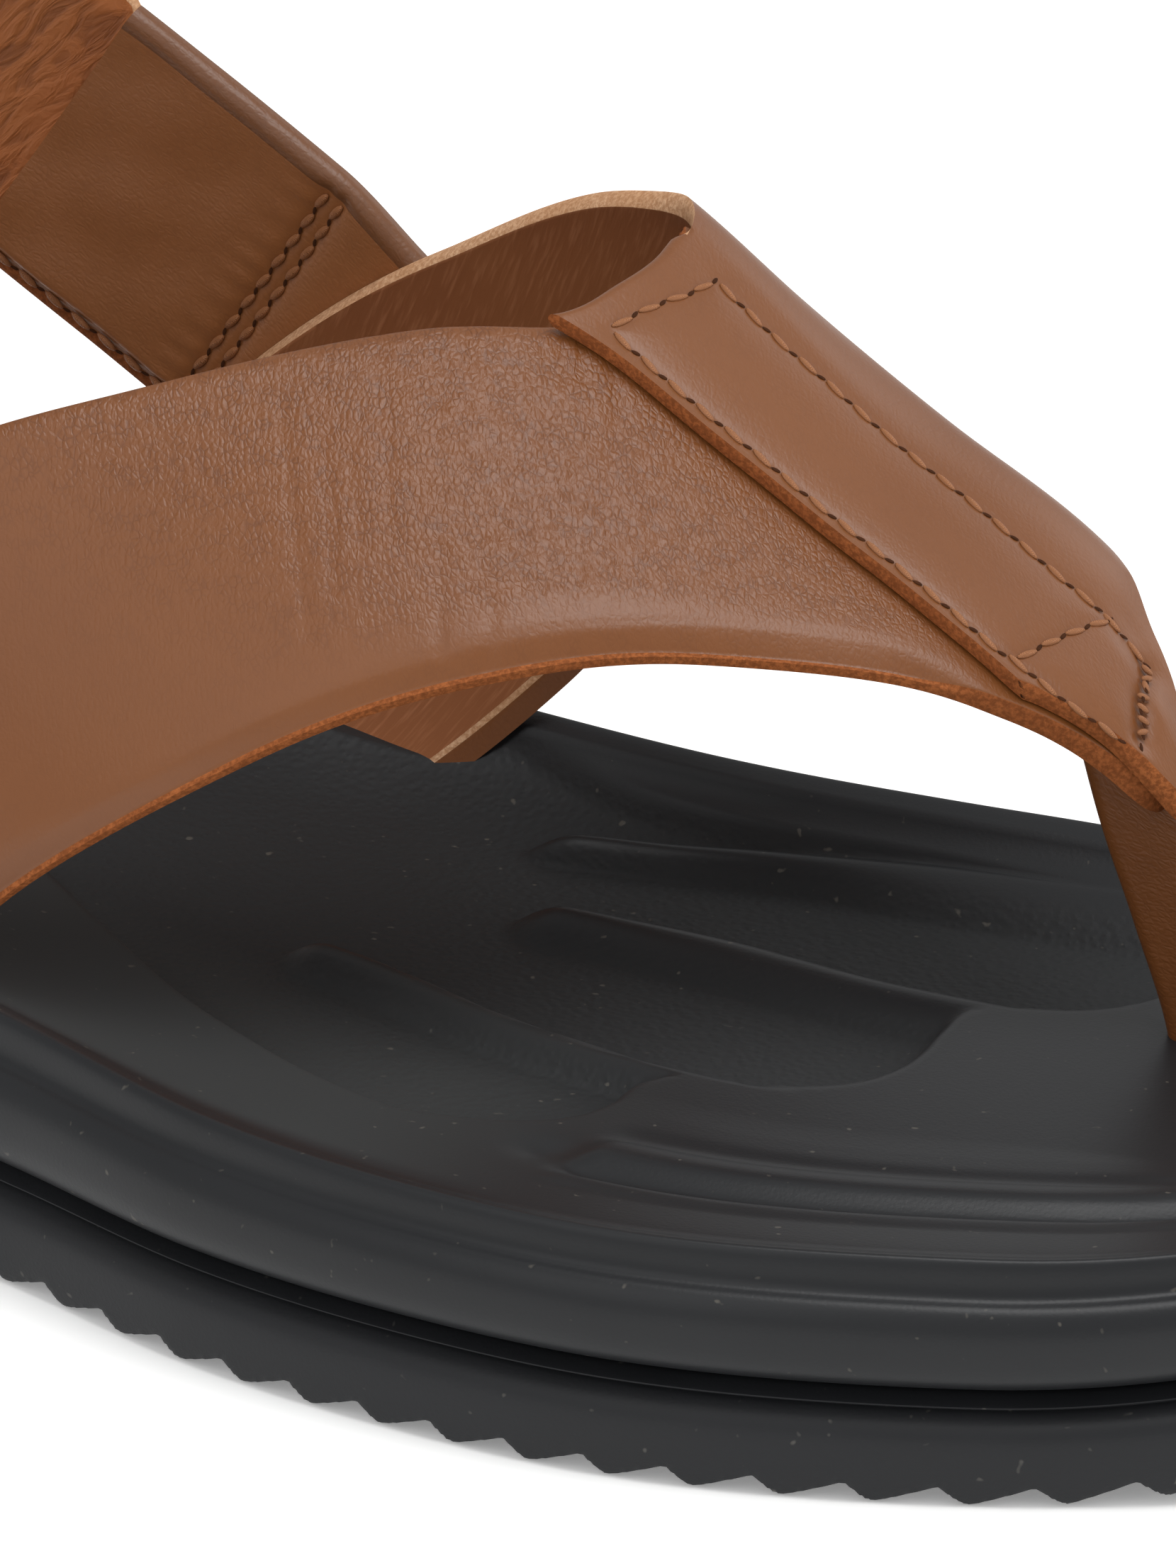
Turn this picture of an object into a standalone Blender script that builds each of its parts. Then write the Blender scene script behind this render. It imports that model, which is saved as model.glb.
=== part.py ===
"""Right-foot leather sandal with a toe post and a sling back, on a moulded sole.

The sole stands on z = 0, with the toe at +X and the medial (big toe) side at +Y. Sizes are in
millimetres, stations are measured from the heel back, and meshes are written in metres.
"""
from functools import partial

import bmesh
import bpy
import numpy as np

MM = 0.001

# Driving dimensions
LENGTH = 284.0
TOE_SPRING = 11.0
TOE_ROLL_FROM = 238.0
HEEL_LIFT = 4.0
HEEL_ROLL_TO = 18.0
ARCH_LIFT = 2.4
ARCH_AT = 112.0
ARCH_REACH = 36.0
FIT_GAP = 0.3
LEATHER = 1.7
STRAP_LEATHER = 2.0
SLEEVE_WALL = 3.0
SLOT_DEPTH = 4.2

# Tread lugs: saw teeth that run in from both edges to a flat strip along the middle
LUG_PITCH = 6.8
LUG_DEPTH = 2.0
LUG_LAND = 0.3
LUG_FLANK = 1.7
LUG_CLEAR = 0.15
LUG_BELOW = -8.0
LUG_FIRST = 19.45
LUG_LAST = 262.0
LUG_REACH = 80.0
TREAD_STRIP = (-11.0, 14.0)

# Mesh counts, and how far the rings of the sole's faces are drawn in to the spine
SOLE_POINTS = 96
SECTION_POINTS = 61
STRAP_ROWS = 9
LATERAL_COLUMNS = 17
OVERLAP_COLUMNS = 6
MEDIAL_COLUMNS = 17
STRAP_COLUMNS = 44
SLEEVE_COLUMNS = 12
STRAP_ACROSS = 7
FACE_SHARES = (0.4, 0.75)
FLOOR_SHARES = (0.08, 0.17, 0.27, 0.37, 0.48, 0.6, 0.73, 0.87)
SPINE_MARGIN = 34.0
SMOOTH_ANGLE = 35.0

# Small steps that slopes are measured over
STATION_STEP = 1.5
GIRTH_STEP = 0.012
TURN_STEP = 0.01

# Colour and roughness of each material
FINISHES = {
    "outsole_rubber": ("#26272a", 0.6),
    "footbed_foam": ("#2e2f32", 0.55),
    "upper_leather": ("#8a5f43", 0.5),
    "sleeve_leather": ("#6f4a30", 0.5),
    "strap_leather": ("#8f5a38", 0.55),
}


def hermite(at, values, x):
    """Smooth curve through the rows of a table, read at x, with the end values held."""
    slopes = np.gradient(values, at)
    x = np.clip(x, at[0], at[-1])
    k = np.clip(np.searchsorted(at, x, side="right") - 1, 0, len(at) - 2)
    span = at[k + 1] - at[k]
    t = (x - at[k]) / span
    start = (2 * t**3 - 3 * t**2 + 1) * values[k] + (t**3 - 2 * t**2 + t) * span * slopes[k]
    end = (3 * t**2 - 2 * t**3) * values[k + 1] + (t**3 - t**2) * span * slopes[k + 1]
    return start + end


def table(names, rows):
    """One smooth function for each named column, read against the first column."""
    data = np.array(rows, float)
    return {name: partial(hermite, data[:, 0], data[:, i]) for i, name in enumerate(names) if i}


# Plan of the sole: how full each side is at a share of the length, and the bend of its midline
OUTLINE = table(("share", "lateral", "medial", "midline"), (
    (0.00, 69.0, 69.0, 0.0),
    (0.12, 53.5, 53.0, 0.2),
    (0.25, 42.5, 38.5, 0.8),
    (0.38, 42.3, 32.3, 1.9),
    (0.53, 48.5, 35.7, 4.0),
    (0.60, 55.0, 37.8, 5.2),
    (0.67, 59.9, 41.8, 6.6),
    (0.74, 63.8, 46.6, 8.2),
    (0.83, 64.9, 49.0, 10.6),
    (0.92, 63.4, 48.0, 13.3),
    (1.00, 62.0, 52.0, 16.0),
))

# Levels of the sole above a flat ground, along the stations
LEVELS = table(("station", "parting", "floor", "rim", "cup"), (
    (0.0, 15.5, 27.5, 35.0, 26.0),
    (40.0, 14.5, 26.5, 35.5, 28.0),
    (75.0, 13.6, 25.0, 34.0, 26.0),
    (100.0, 12.4, 23.0, 31.0, 22.0),
    (125.0, 11.0, 20.3, 27.3, 17.0),
    (150.0, 9.8, 17.6, 24.3, 14.0),
    (175.0, 9.4, 16.2, 22.6, 13.0),
    (205.0, 9.3, 15.7, 22.0, 13.0),
    (235.0, 9.3, 15.7, 22.0, 13.0),
    (284.0, 9.2, 15.4, 20.6, 13.0),
))

# Side of the footbed from the parting line up: inset from the plan, share of the side's height
FOOTBED_SIDE = (
    ("seat", 2.4, 0.00),
    ("groove lip", 0.5, 0.10),
    ("bulge", 0.0, 0.30),
    ("shoulder", 0.9, 0.60),
    ("step", 2.3, 0.72),
    ("ridge", 2.9, 0.96),
    ("crest", 3.8, 1.00),
    ("inner lip", 6.0, 0.84),
)

# Side of the outsole from the ground up: inset from the plan, share of its height
OUTSOLE_SIDE = (
    ("tread edge", 1.6, 0.00),
    ("chamfer", 1.0, 0.08),
    ("wall", 0.6, 0.50),
    ("lip", 0.6, 0.82),
    ("groove", 2.4, 1.00),
)

# Toe platform of the footbed: station of its scalloped back edge across the foot
PLATFORM = table(("y", "edge"), (
    (-36.0, 176.0),
    (-24.0, 187.0),
    (-9.0, 198.0),
    (0.0, 208.0),
    (14.0, 214.0),
    (25.0, 219.0),
    (36.0, 230.0),
    (46.0, 244.0),
))
PLATFORM_RISE = 2.4
PLATFORM_SLOPE = 7.0

# Ridges that run back from the platform between the hollows of the forefoot
RIDGE_COLUMNS = ("from_station", "from_y", "to_station", "to_y")
RIDGES = (
    (158.0, 23.0, 236.0, 44.0),
    (164.0, 9.3, 226.0, 17.0),
    (152.0, -7.0, 212.0, -8.5),
)
RIDGE_HALF_WIDTH = 5.5
RIDGE_NOSE = 9.0
RIDGE_CROWN = 1.4
RIM_LIP = 1.0

# Last above the footbed: half sections from the lateral base over the top to the medial base
LAST = table(("station", "lateral", "medial", "top_y", "top_z", "lateral_full", "medial_full"), (
    (46.0, -31.0, 31.0, 0.0, 150.0, 2.2, 2.2),
    (84.0, -33.0, 34.5, 6.0, 118.0, 2.2, 2.3),
    (110.0, -35.0, 37.0, 14.0, 101.0, 2.1, 2.3),
    (140.0, -37.0, 38.0, 21.0, 86.0, 1.9, 2.3),
    (170.0, -38.0, 38.0, 25.0, 77.3, 1.75, 2.2),
    (196.0, -37.0, 38.0, 25.0, 61.5, 1.7, 2.1),
    (213.0, -34.0, 37.0, 24.5, 52.0, 1.65, 2.0),
    (221.0, -30.0, 36.0, 23.0, 45.0, 1.6, 2.0),
    (229.0, -26.0, 35.0, 22.0, 34.0, 1.6, 2.0),
))
TUCK_HEIGHT = 30.0
LATERAL_TUCK = 4.0
MEDIAL_TUCK = 18.0

# Edges of the strap shell: stations of the back and front edge at a share of the girth
STRAP_EDGES = table(("girth", "back", "front"), (
    (0.000, 92.0, 131.0),
    (0.085, 101.0, 142.5),
    (0.190, 116.0, 163.0),
    (0.275, 131.5, 179.0),
    (0.350, 150.0, 192.0),
    (0.420, 165.5, 206.0),
    (0.465, 172.0, 215.0),
    (0.500, 174.0, 220.5),
    (0.535, 174.5, 224.5),
    (0.570, 172.5, 224.0),
    (0.600, 166.5, 219.0),
    (0.625, 158.5, 211.0),
    (0.695, 141.0, 190.0),
    (0.785, 123.0, 168.0),
    (0.885, 107.0, 154.0),
    (0.935, 101.0, 147.0),
    (1.000, 94.0, 138.0),
))
SEAM = 0.462
SEAM_STEP = 0.003
OVERLAP_SHARE = 0.24
INNER_STEP = 0.01

# Toe post: back and front edge of the folded strip, from its slot up to the strap shell
TOE_POST_COLUMNS = ("back", "back_z", "front", "front_z")
TOE_POST = (
    (226.0, 12.0, 238.5, 12.0),
    (225.5, 17.5, 238.0, 17.5),
    (221.5, 27.5, 233.5, 28.0),
    (217.5, 37.0, 229.0, 36.0),
)
TOE_POST_HEAD = (214.5, 224.0)
TOE_POST_GIRTH = 0.555
TOE_POST_THICK = 3.6

# Back strap: height of its middle and its width, along the stations of each side
BACK_STRAP = table(("station", "middle", "width"), (
    (14.0, 86.0, 25.0),
    (46.0, 85.5, 26.0),
    (75.0, 81.0, 27.0),
    (95.0, 73.0, 27.0),
    (110.0, 64.0, 27.0),
    (125.0, 54.5, 27.0),
    (140.0, 45.0, 27.0),
    (155.0, 35.5, 27.0),
))
HEEL_ROUND_FROM = 46.0
HEEL_BACK = 14.0
HEEL_SHARE = 0.42
LATERAL_END = 122.0
SLEEVE_FROM = 100.0
SLEEVE_TO = 140.0
SLEEVE_LAP = 10.0
SLEEVE_ABOVE = 1.0
SLEEVE_BELOW = 5.0
FLANK_LIMIT = 0.98


def ground(station):
    """Underside of the sole: level, with a rolled heel, a low arch and toe spring."""
    heel = HEEL_LIFT * np.clip(1 - station / HEEL_ROLL_TO, 0, 1) ** 2
    arch = np.clip(1 - ((station - ARCH_AT) / ARCH_REACH) ** 2, 0, 1) ** 2
    return heel + ARCH_LIFT * arch + toe_lift(station)


def toe_lift(station):
    return TOE_SPRING * np.clip((station - TOE_ROLL_FROM) / (LENGTH - TOE_ROLL_FROM), 0, 2) ** 2


def level(name, station):
    return LEVELS[name](station) + toe_lift(station)


def plan(inset=0.0):
    """Points of the sole's plan from the heel round the lateral side, toe and medial side."""
    turn = np.arange(SOLE_POINTS) / SOLE_POINTS
    share = (1 - np.cos(2 * np.pi * turn)) / 2
    full = np.where(turn <= 0.5, OUTLINE["lateral"](share), OUTLINE["medial"](share))
    points = np.stack((LENGTH * share, OUTLINE["midline"](share) - np.sin(2 * np.pi * turn) * full), axis=1)
    along = np.roll(points, -1, axis=0) - np.roll(points, 1, axis=0)
    along /= np.linalg.norm(along, axis=1, keepdims=True)
    inward = np.stack((-along[:, 1], along[:, 0]), axis=1)
    return points + inset * inward


def toward_spine(ring, share):
    """Shrink a plan ring towards the midline of the sole."""
    spine_x = np.clip(ring[:, 0], SPINE_MARGIN, LENGTH - SPINE_MARGIN)
    spine = np.stack((spine_x, OUTLINE["midline"](spine_x / LENGTH)), axis=1)
    return ring + share * (spine - ring)


def forefoot_rise(points):
    """Rise of the toe platform and its ridges over the hollows at plan points."""
    station, y = points[:, 0], points[:, 1]
    rise = soft_step((station - PLATFORM["edge"](y)) / PLATFORM_SLOPE + 0.5)
    for row in RIDGES:
        ridge = dict(zip(RIDGE_COLUMNS, row))
        start = np.array((ridge["from_station"], ridge["from_y"]))
        line = np.array((ridge["to_station"], ridge["to_y"])) - start
        line /= np.linalg.norm(line)
        along = (points - start) @ line
        aside = np.abs((points - start) @ np.array((-line[1], line[0])))
        crown = soft_step(RIDGE_CROWN * (1 - aside / RIDGE_HALF_WIDTH)) * soft_step(along / RIDGE_NOSE)
        rise = np.maximum(rise, crown)
    return PLATFORM_RISE * rise


def soft_step(x):
    x = np.clip(x, 0, 1)
    return x * x * (3 - 2 * x)


def footbed_height(points, depth):
    """Top of the footbed: a floor that climbs to the rim, with ridges in the forefoot."""
    station = points[:, 0]
    floor = level("floor", station)
    climb = np.clip(1 - depth / LEVELS["cup"](station), 0, 1) ** 2
    return floor + (level("rim", station) - floor - RIM_LIP) * climb + forefoot_rise(points) * (1 - climb)


def raised(ring, height):
    return np.column_stack((ring, height))


def outsole_rings():
    rings = []
    edge = plan(OUTSOLE_SIDE[0][1])
    for share in reversed(FACE_SHARES):
        ring = toward_spine(edge, share)
        rings.append(raised(ring, ground(ring[:, 0])))
    for _, inset, share in OUTSOLE_SIDE:
        ring = plan(inset)
        low = ground(ring[:, 0])
        top = level("parting", ring[:, 0]) - FIT_GAP / 2
        rings.append(raised(ring, low + share * (top - low)))
    for share in FACE_SHARES:
        ring = toward_spine(plan(OUTSOLE_SIDE[-1][1]), share)
        rings.append(raised(ring, level("parting", ring[:, 0]) - FIT_GAP / 2))
    return rings


def footbed_rings():
    rings = []
    seat = plan(FOOTBED_SIDE[0][1])
    for share in reversed(FACE_SHARES):
        ring = toward_spine(seat, share)
        rings.append(raised(ring, level("parting", ring[:, 0]) + FIT_GAP / 2))
    for _, inset, share in FOOTBED_SIDE:
        ring = plan(inset)
        low = level("parting", ring[:, 0]) + FIT_GAP / 2
        rings.append(raised(ring, low + share * (level("rim", ring[:, 0]) - low)))
    crest_inset = FOOTBED_SIDE[-2][1]
    lip = plan(FOOTBED_SIDE[-1][1])
    for share in FLOOR_SHARES:
        ring = toward_spine(lip, share)
        depth = FOOTBED_SIDE[-1][1] - crest_inset + np.linalg.norm(ring - lip, axis=1)
        rings.append(raised(ring, footbed_height(ring, depth)))
    return rings


def last_section(station):
    """One section of the last from the lateral base over the top to the medial base."""
    angle = np.linspace(0, np.pi, SECTION_POINTS)
    lateral = angle < np.pi / 2
    full = np.where(lateral, LAST["lateral_full"](station), LAST["medial_full"](station))
    across = np.abs(np.cos(angle)) ** (2 / full)
    up = np.sin(angle) ** (2 / full)
    base = level("floor", station) - SLOT_DEPTH
    top_y = LAST["top_y"](station)
    side = np.where(lateral, LAST["lateral"](station), LAST["medial"](station))
    rise = up * (LAST["top_z"](station) - base)
    tuck = np.where(lateral, LATERAL_TUCK, -MEDIAL_TUCK) * np.clip(1 - rise / TUCK_HEIGHT, 0, 1) ** 2
    return np.column_stack((top_y + across * (side - top_y) + tuck, base + rise))


def on_last(station, girth):
    """Point of the last at a station and a share of its girth."""
    section = last_section(station)
    run = np.concatenate(([0.0], np.cumsum(np.linalg.norm(np.diff(section, axis=0), axis=1))))
    y = np.interp(girth * run[-1], run, section[:, 0])
    z = np.interp(girth * run[-1], run, section[:, 1])
    return np.array((station, y, z))


def off_last(station, girth):
    """Outward direction of the last."""
    ahead = on_last(station + STATION_STEP, girth) - on_last(station - STATION_STEP, girth)
    over = on_last(station, min(girth + GIRTH_STEP, 1.0)) - on_last(station, max(girth - GIRTH_STEP, 0.0))
    out = np.cross(over, ahead)
    return -out / np.linalg.norm(out)


def strap_columns():
    """Columns across the strap shell: side of the seam, and share of that side's girth."""
    lateral = [("lateral", a) for a in np.linspace(0, 1, LATERAL_COLUMNS)]
    overlap = [("overlap", b) for b in np.linspace(0, OVERLAP_SHARE, OVERLAP_COLUMNS)]
    medial = [("medial", b) for b in np.linspace(OVERLAP_SHARE + INNER_STEP, 1, MEDIAL_COLUMNS)]
    return lateral + overlap + medial


def strap_walls(clear=0.0):
    """Outer and inner faces of the strap shell, wider by a clearance for its slots."""
    outer, inner = [], []
    for zone, share in strap_columns():
        low, high = [], []
        for w in np.linspace(0, 1, STRAP_ROWS):
            girth = share * (SEAM - SEAM_STEP) if zone == "lateral" else SEAM + share * (1 - SEAM)
            back = STRAP_EDGES["back"](girth) - clear
            station = back + w * (STRAP_EDGES["front"](girth) + clear - back)
            point = on_last(station, girth)
            out = off_last(station, girth)
            if girth in (0.0, 1.0):
                point[2] -= clear
            inside = LEATHER if zone == "medial" else 0.0
            outside = LEATHER if zone == "lateral" else 2 * LEATHER
            low.append(point + (inside - clear) * out)
            high.append(point + (outside + clear) * out)
        inner.append(low)
        outer.append(high)
    return np.array(outer), np.array(inner)


def post_walls(clear=0.0):
    """Two flat faces of the toe post, wider by a clearance for its slot."""
    back, front = TOE_POST_HEAD
    heights = [on_last(station, TOE_POST_GIRTH)[2] + LEATHER for station in TOE_POST_HEAD]
    rows = [dict(zip(TOE_POST_COLUMNS, row)) for row in TOE_POST]
    rows.append(dict(zip(TOE_POST_COLUMNS, (back, heights[0], front, heights[1]))))
    middle = on_last((back + front) / 2, TOE_POST_GIRTH)[1]
    reach = TOE_POST_THICK / 2 + clear
    faces = []
    for y in (middle - reach, middle + reach):
        faces.append(np.array([((row["back"] - clear, y, row["back_z"] - clear),
                                (row["front"] + clear, y, row["front_z"] - clear)) for row in rows]))
    return faces[0], faces[1]


def flank(side, station, height):
    """Half breadth of the last at a height."""
    station = max(station, HEEL_ROUND_FROM)
    full = LAST[side + "_full"](station)
    base = level("floor", station) - SLOT_DEPTH
    share = np.clip((height - base) / (LAST["top_z"](station) - base), 0, FLANK_LIMIT)
    top_y = LAST["top_y"](station)
    return top_y + (LAST[side](station) - top_y) * (1 - share**full) ** (1 / full)


def strap_point(turn, rise):
    """Point of the last under the back strap, at a distance above the strap's middle line.

    The turn runs from -1 at the lateral end over 0 at the heel to 1 at the medial end.
    """
    side, end = ("lateral", LATERAL_END) if turn < 0 else ("medial", SLEEVE_TO)
    run = (abs(turn) - HEEL_SHARE) / (1 - HEEL_SHARE)
    swing = np.clip(abs(turn) / HEEL_SHARE, 0, 1) * np.pi / 2
    station = HEEL_ROUND_FROM + run * (end - HEEL_ROUND_FROM)
    if run < 0:
        station = HEEL_ROUND_FROM - (HEEL_ROUND_FROM - HEEL_BACK) * np.cos(swing)
    slope = BACK_STRAP["middle"](station + 1) - BACK_STRAP["middle"](station - 1)
    tilt = np.arctan(slope / 2)
    height = BACK_STRAP["middle"](station) + rise * np.cos(tilt)
    station -= rise * np.sin(tilt)
    return np.array((station, flank(side, station, height) * np.sin(swing), height))


def strap_turn(station):
    """Turn along the medial half of the back strap's path at a station."""
    return HEEL_SHARE + (station - HEEL_ROUND_FROM) / (SLEEVE_TO - HEEL_ROUND_FROM) * (1 - HEEL_SHARE)


def band_walls(turns, seats, wall, above=0.0, below=0.0):
    """Outer and inner faces of a stretch of the back strap, seated at distances off the last.

    A sleeve reaches further than the strap by the lengths above and below it.
    """
    outer, inner = [], []
    for turn, seat in zip(turns, seats):
        low, high = [], []
        half = BACK_STRAP["width"](strap_point(turn, 0.0)[0]) / 2
        for rise in np.linspace(-half - below, half + above, STRAP_ACROSS):
            after = strap_point(min(turn + TURN_STEP, 1.0), rise)
            ahead = after - strap_point(max(turn - TURN_STEP, -1.0), rise)
            over = strap_point(turn, rise + 1.0) - strap_point(turn, rise - 1.0)
            out = np.cross(over, ahead)
            out /= np.linalg.norm(out)
            low.append(strap_point(turn, rise) + seat * out)
            high.append(strap_point(turn, rise) + (seat + wall) * out)
        inner.append(low)
        outer.append(high)
    return np.array(outer), np.array(inner)


def write_mesh(name, points, faces):
    """Mesh object in metres, with the plan's box centred on the origin."""
    spread = plan()
    centre = (spread.max(axis=0) + spread.min(axis=0)) / 2
    points = (np.asarray(points) - np.append(centre, 0.0)) * MM
    mesh = bpy.data.meshes.new(name)
    mesh.from_pydata(points.tolist(), [], faces)
    shape = bmesh.new()
    shape.from_mesh(mesh)
    bmesh.ops.recalc_face_normals(shape, faces=shape.faces)
    shape.to_mesh(mesh)
    shape.free()
    mesh.shade_smooth()
    mesh.set_sharp_from_angle(angle=np.radians(SMOOTH_ANGLE))
    return bpy.data.objects.new(name, mesh)


def loft(name, rings):
    """Closed body through stacked plan rings, with both ends bridged across the midline."""
    count = SOLE_POINTS
    faces = []
    for k in range(len(rings) - 1):
        for i in range(count):
            j = (i + 1) % count
            faces.append((k * count + i, k * count + j, (k + 1) * count + j, (k + 1) * count + i))
    for start, flip in ((0, True), ((len(rings) - 1) * count, False)):
        caps = [(0, 1, count - 1), (count // 2 - 1, count // 2, count // 2 + 1)]
        caps += [(i, i + 1, count - i - 1, count - i) for i in range(1, count // 2 - 1)]
        for cap in caps:
            corners = [start + i for i in cap]
            faces.append(corners[::-1] if flip else corners)
    return write_mesh(name, np.concatenate(rings), faces)


def shell(name, outer, inner):
    """Closed wall between two like grids of points."""
    columns, rows = outer.shape[:2]
    size = columns * rows
    faces = []
    for c in range(columns - 1):
        for r in range(rows - 1):
            a, b = c * rows + r, (c + 1) * rows + r
            faces.append((a, b, b + 1, a + 1))
            faces.append((size + a, size + a + 1, size + b + 1, size + b))
    rim = [c * rows for c in range(columns)]
    rim += [(columns - 1) * rows + r for r in range(1, rows)]
    rim += [c * rows + rows - 1 for c in range(columns - 2, -1, -1)]
    rim += list(range(rows - 2, 0, -1))
    for a, b in zip(rim, rim[1:] + rim[:1]):
        faces.append((a, size + a, size + b, b))
    return write_mesh(name, np.concatenate((outer.reshape(-1, 3), inner.reshape(-1, 3))), faces)


def lug_comb(name, y_from, y_to):
    """Cutter under one edge of the tread: the space below a row of saw teeth."""
    profile = []
    station = LUG_FIRST
    while station < LUG_LAST:
        low = ground(station) - LUG_CLEAR
        notch = station + LUG_PITCH - LUG_FLANK
        profile += [(station, low), (station + LUG_LAND, low), (notch, ground(notch) + LUG_DEPTH)]
        station += LUG_PITCH
    profile += [(station, ground(station) - LUG_CLEAR), (station, LUG_BELOW), (LUG_FIRST, LUG_BELOW)]
    count = len(profile)
    points = [(x, y, z) for y in (y_from, y_to) for x, z in profile]
    faces = [tuple(range(count)), tuple(range(2 * count - 1, count - 1, -1))]
    faces += [(i, (i + 1) % count, count + (i + 1) % count, count + i) for i in range(count)]
    return write_mesh(name, points, faces)


def linear(code):
    """Linear colour of an sRGB hex code."""
    parts = [int(code[i:i + 2], 16) / 255 for i in (1, 3, 5)]
    return [c / 12.92 if c <= 0.04045 else ((c + 0.055) / 1.055) ** 2.4 for c in parts] + [1.0]


def material(name):
    colour, roughness = FINISHES[name]
    finish = bpy.data.materials.new(name)
    finish.use_nodes = True
    shader = finish.node_tree.nodes["Principled BSDF"]
    shader.inputs["Base Color"].default_value = linear(colour)
    shader.inputs["Roughness"].default_value = roughness
    shader.inputs["Metallic"].default_value = 0.0
    return finish


def cut(piece, tool, operation="DIFFERENCE"):
    modifier = piece.modifiers.new(tool.name, "BOOLEAN")
    modifier.operation = operation
    modifier.solver = "EXACT"
    modifier.object = tool


for old in list(bpy.data.objects):
    bpy.data.objects.remove(old, do_unlink=True)

parts = bpy.data.collections.new("leather_sandal")
cutters = bpy.data.collections.new("cutters")
bpy.context.scene.collection.children.link(parts)
bpy.context.scene.collection.children.link(cutters)

lateral_comb = lug_comb("lateral_comb", -LUG_REACH, TREAD_STRIP[0])
medial_comb = lug_comb("medial_comb", TREAD_STRIP[1], LUG_REACH)
strap_slots = shell("strap_slots", *strap_walls(FIT_GAP))
post_slot = shell("post_slot", *post_walls(FIT_GAP))
post_blank = shell("post_blank", *post_walls())
for tool in (lateral_comb, medial_comb, strap_slots, post_slot, post_blank):
    tool.hide_render = True
    tool.display_type = "WIRE"
    cutters.objects.link(tool)

outsole = loft("outsole", outsole_rings())
cut(outsole, lateral_comb)
cut(outsole, medial_comb)
outsole.data.materials.append(material("outsole_rubber"))

footbed = loft("footbed", footbed_rings())
cut(footbed, strap_slots)
cut(footbed, post_slot)
footbed.data.materials.append(material("footbed_foam"))

upper = shell("upper", *strap_walls())
cut(upper, post_blank, "UNION")
upper.data.materials.append(material("upper_leather"))

sleeve_seat = 2 * LEATHER + FIT_GAP
sleeve_turns = np.linspace(strap_turn(SLEEVE_FROM), 1.0, SLEEVE_COLUMNS)
sleeve_seats = np.full(SLEEVE_COLUMNS, sleeve_seat)
sleeve_walls = band_walls(sleeve_turns, sleeve_seats, SLEEVE_WALL, SLEEVE_ABOVE, SLEEVE_BELOW)
strap_sleeve = shell("strap_sleeve", *sleeve_walls)
strap_sleeve.data.materials.append(material("sleeve_leather"))

strap_turns = np.linspace(-1.0, strap_turn(SLEEVE_FROM + SLEEVE_LAP), STRAP_COLUMNS)
lateral_seat = LEATHER + FIT_GAP
medial_seat = sleeve_seat + SLEEVE_WALL + FIT_GAP
strap_seats = lateral_seat + (medial_seat - lateral_seat) * soft_step(strap_turns / HEEL_SHARE / 2 + 0.5)
back_strap = shell("back_strap", *band_walls(strap_turns, strap_seats, STRAP_LEATHER))
back_strap.data.materials.append(material("strap_leather"))

for piece in (outsole, footbed, upper, back_strap, strap_sleeve):
    parts.objects.link(piece)
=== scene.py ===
from functools import partial

import bpy
import numpy as np
from mathutils import Matrix


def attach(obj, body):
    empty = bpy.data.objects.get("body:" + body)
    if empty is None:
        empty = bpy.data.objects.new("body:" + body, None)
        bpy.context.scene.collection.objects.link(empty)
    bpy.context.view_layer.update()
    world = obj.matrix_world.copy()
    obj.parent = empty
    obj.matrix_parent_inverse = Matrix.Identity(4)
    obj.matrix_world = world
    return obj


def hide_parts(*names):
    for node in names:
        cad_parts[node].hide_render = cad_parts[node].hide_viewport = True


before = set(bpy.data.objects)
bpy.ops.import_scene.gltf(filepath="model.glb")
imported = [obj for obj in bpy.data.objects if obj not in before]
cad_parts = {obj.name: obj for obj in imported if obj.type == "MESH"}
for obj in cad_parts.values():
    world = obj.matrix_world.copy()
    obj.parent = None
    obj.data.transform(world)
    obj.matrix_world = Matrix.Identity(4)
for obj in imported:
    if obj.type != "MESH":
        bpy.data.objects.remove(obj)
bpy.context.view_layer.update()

# Outsole: one moulded rubber unit under the whole foot, cemented under the footbed along a deep groove.
# Saw teeth are moulded in from both edges of the tread to a flat strip along the middle, and a thin lip
# runs round in the groove. Black rubber from a blasted mould: dull, with a faint mottle and dust.
LENGTH = 284.0
PLAN_MIDDLE = (142.0, -0.274, 0.0)
SPINE_MARGIN = 34.0
TOE_SPRING, TOE_ROLL_FROM = 11.0, 238.0
HEEL_LIFT, HEEL_ROLL_TO = 4.0, 18.0
ARCH_LIFT, ARCH_AT, ARCH_REACH = 2.4, 112.0, 36.0
TOOTH_FIRST, TOOTH_LAST, TOOTH_PITCH = 19.6, 264.0, 6.8
TOOTH_DEPTH, TOOTH_FLANK = 1.9, 1.7
TREAD_STRIP, TREAD_FADE = (-11.0, 14.0), 2.5
OUTSOLE_AROUND = 1600
CROWD_FROM, CROWD_OVER = 115.0, 30.0
OUTSOLE_UNDER_SHARES = (1.0, 0.88, 0.76, 0.66, 0.58, 0.5, 0.4, 0.3, 0.2, 0.1, 0.04)
OUTSOLE_TOP_SHARES = (0.3, 0.7, 1.0)
OUTSOLE_SIDE_STEPS = np.linspace(0, 12, 33)
OUTSOLE_SHARP = 32.0
PLAN_TURNS = 8000
MILLIMETRE = 0.001


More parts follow.
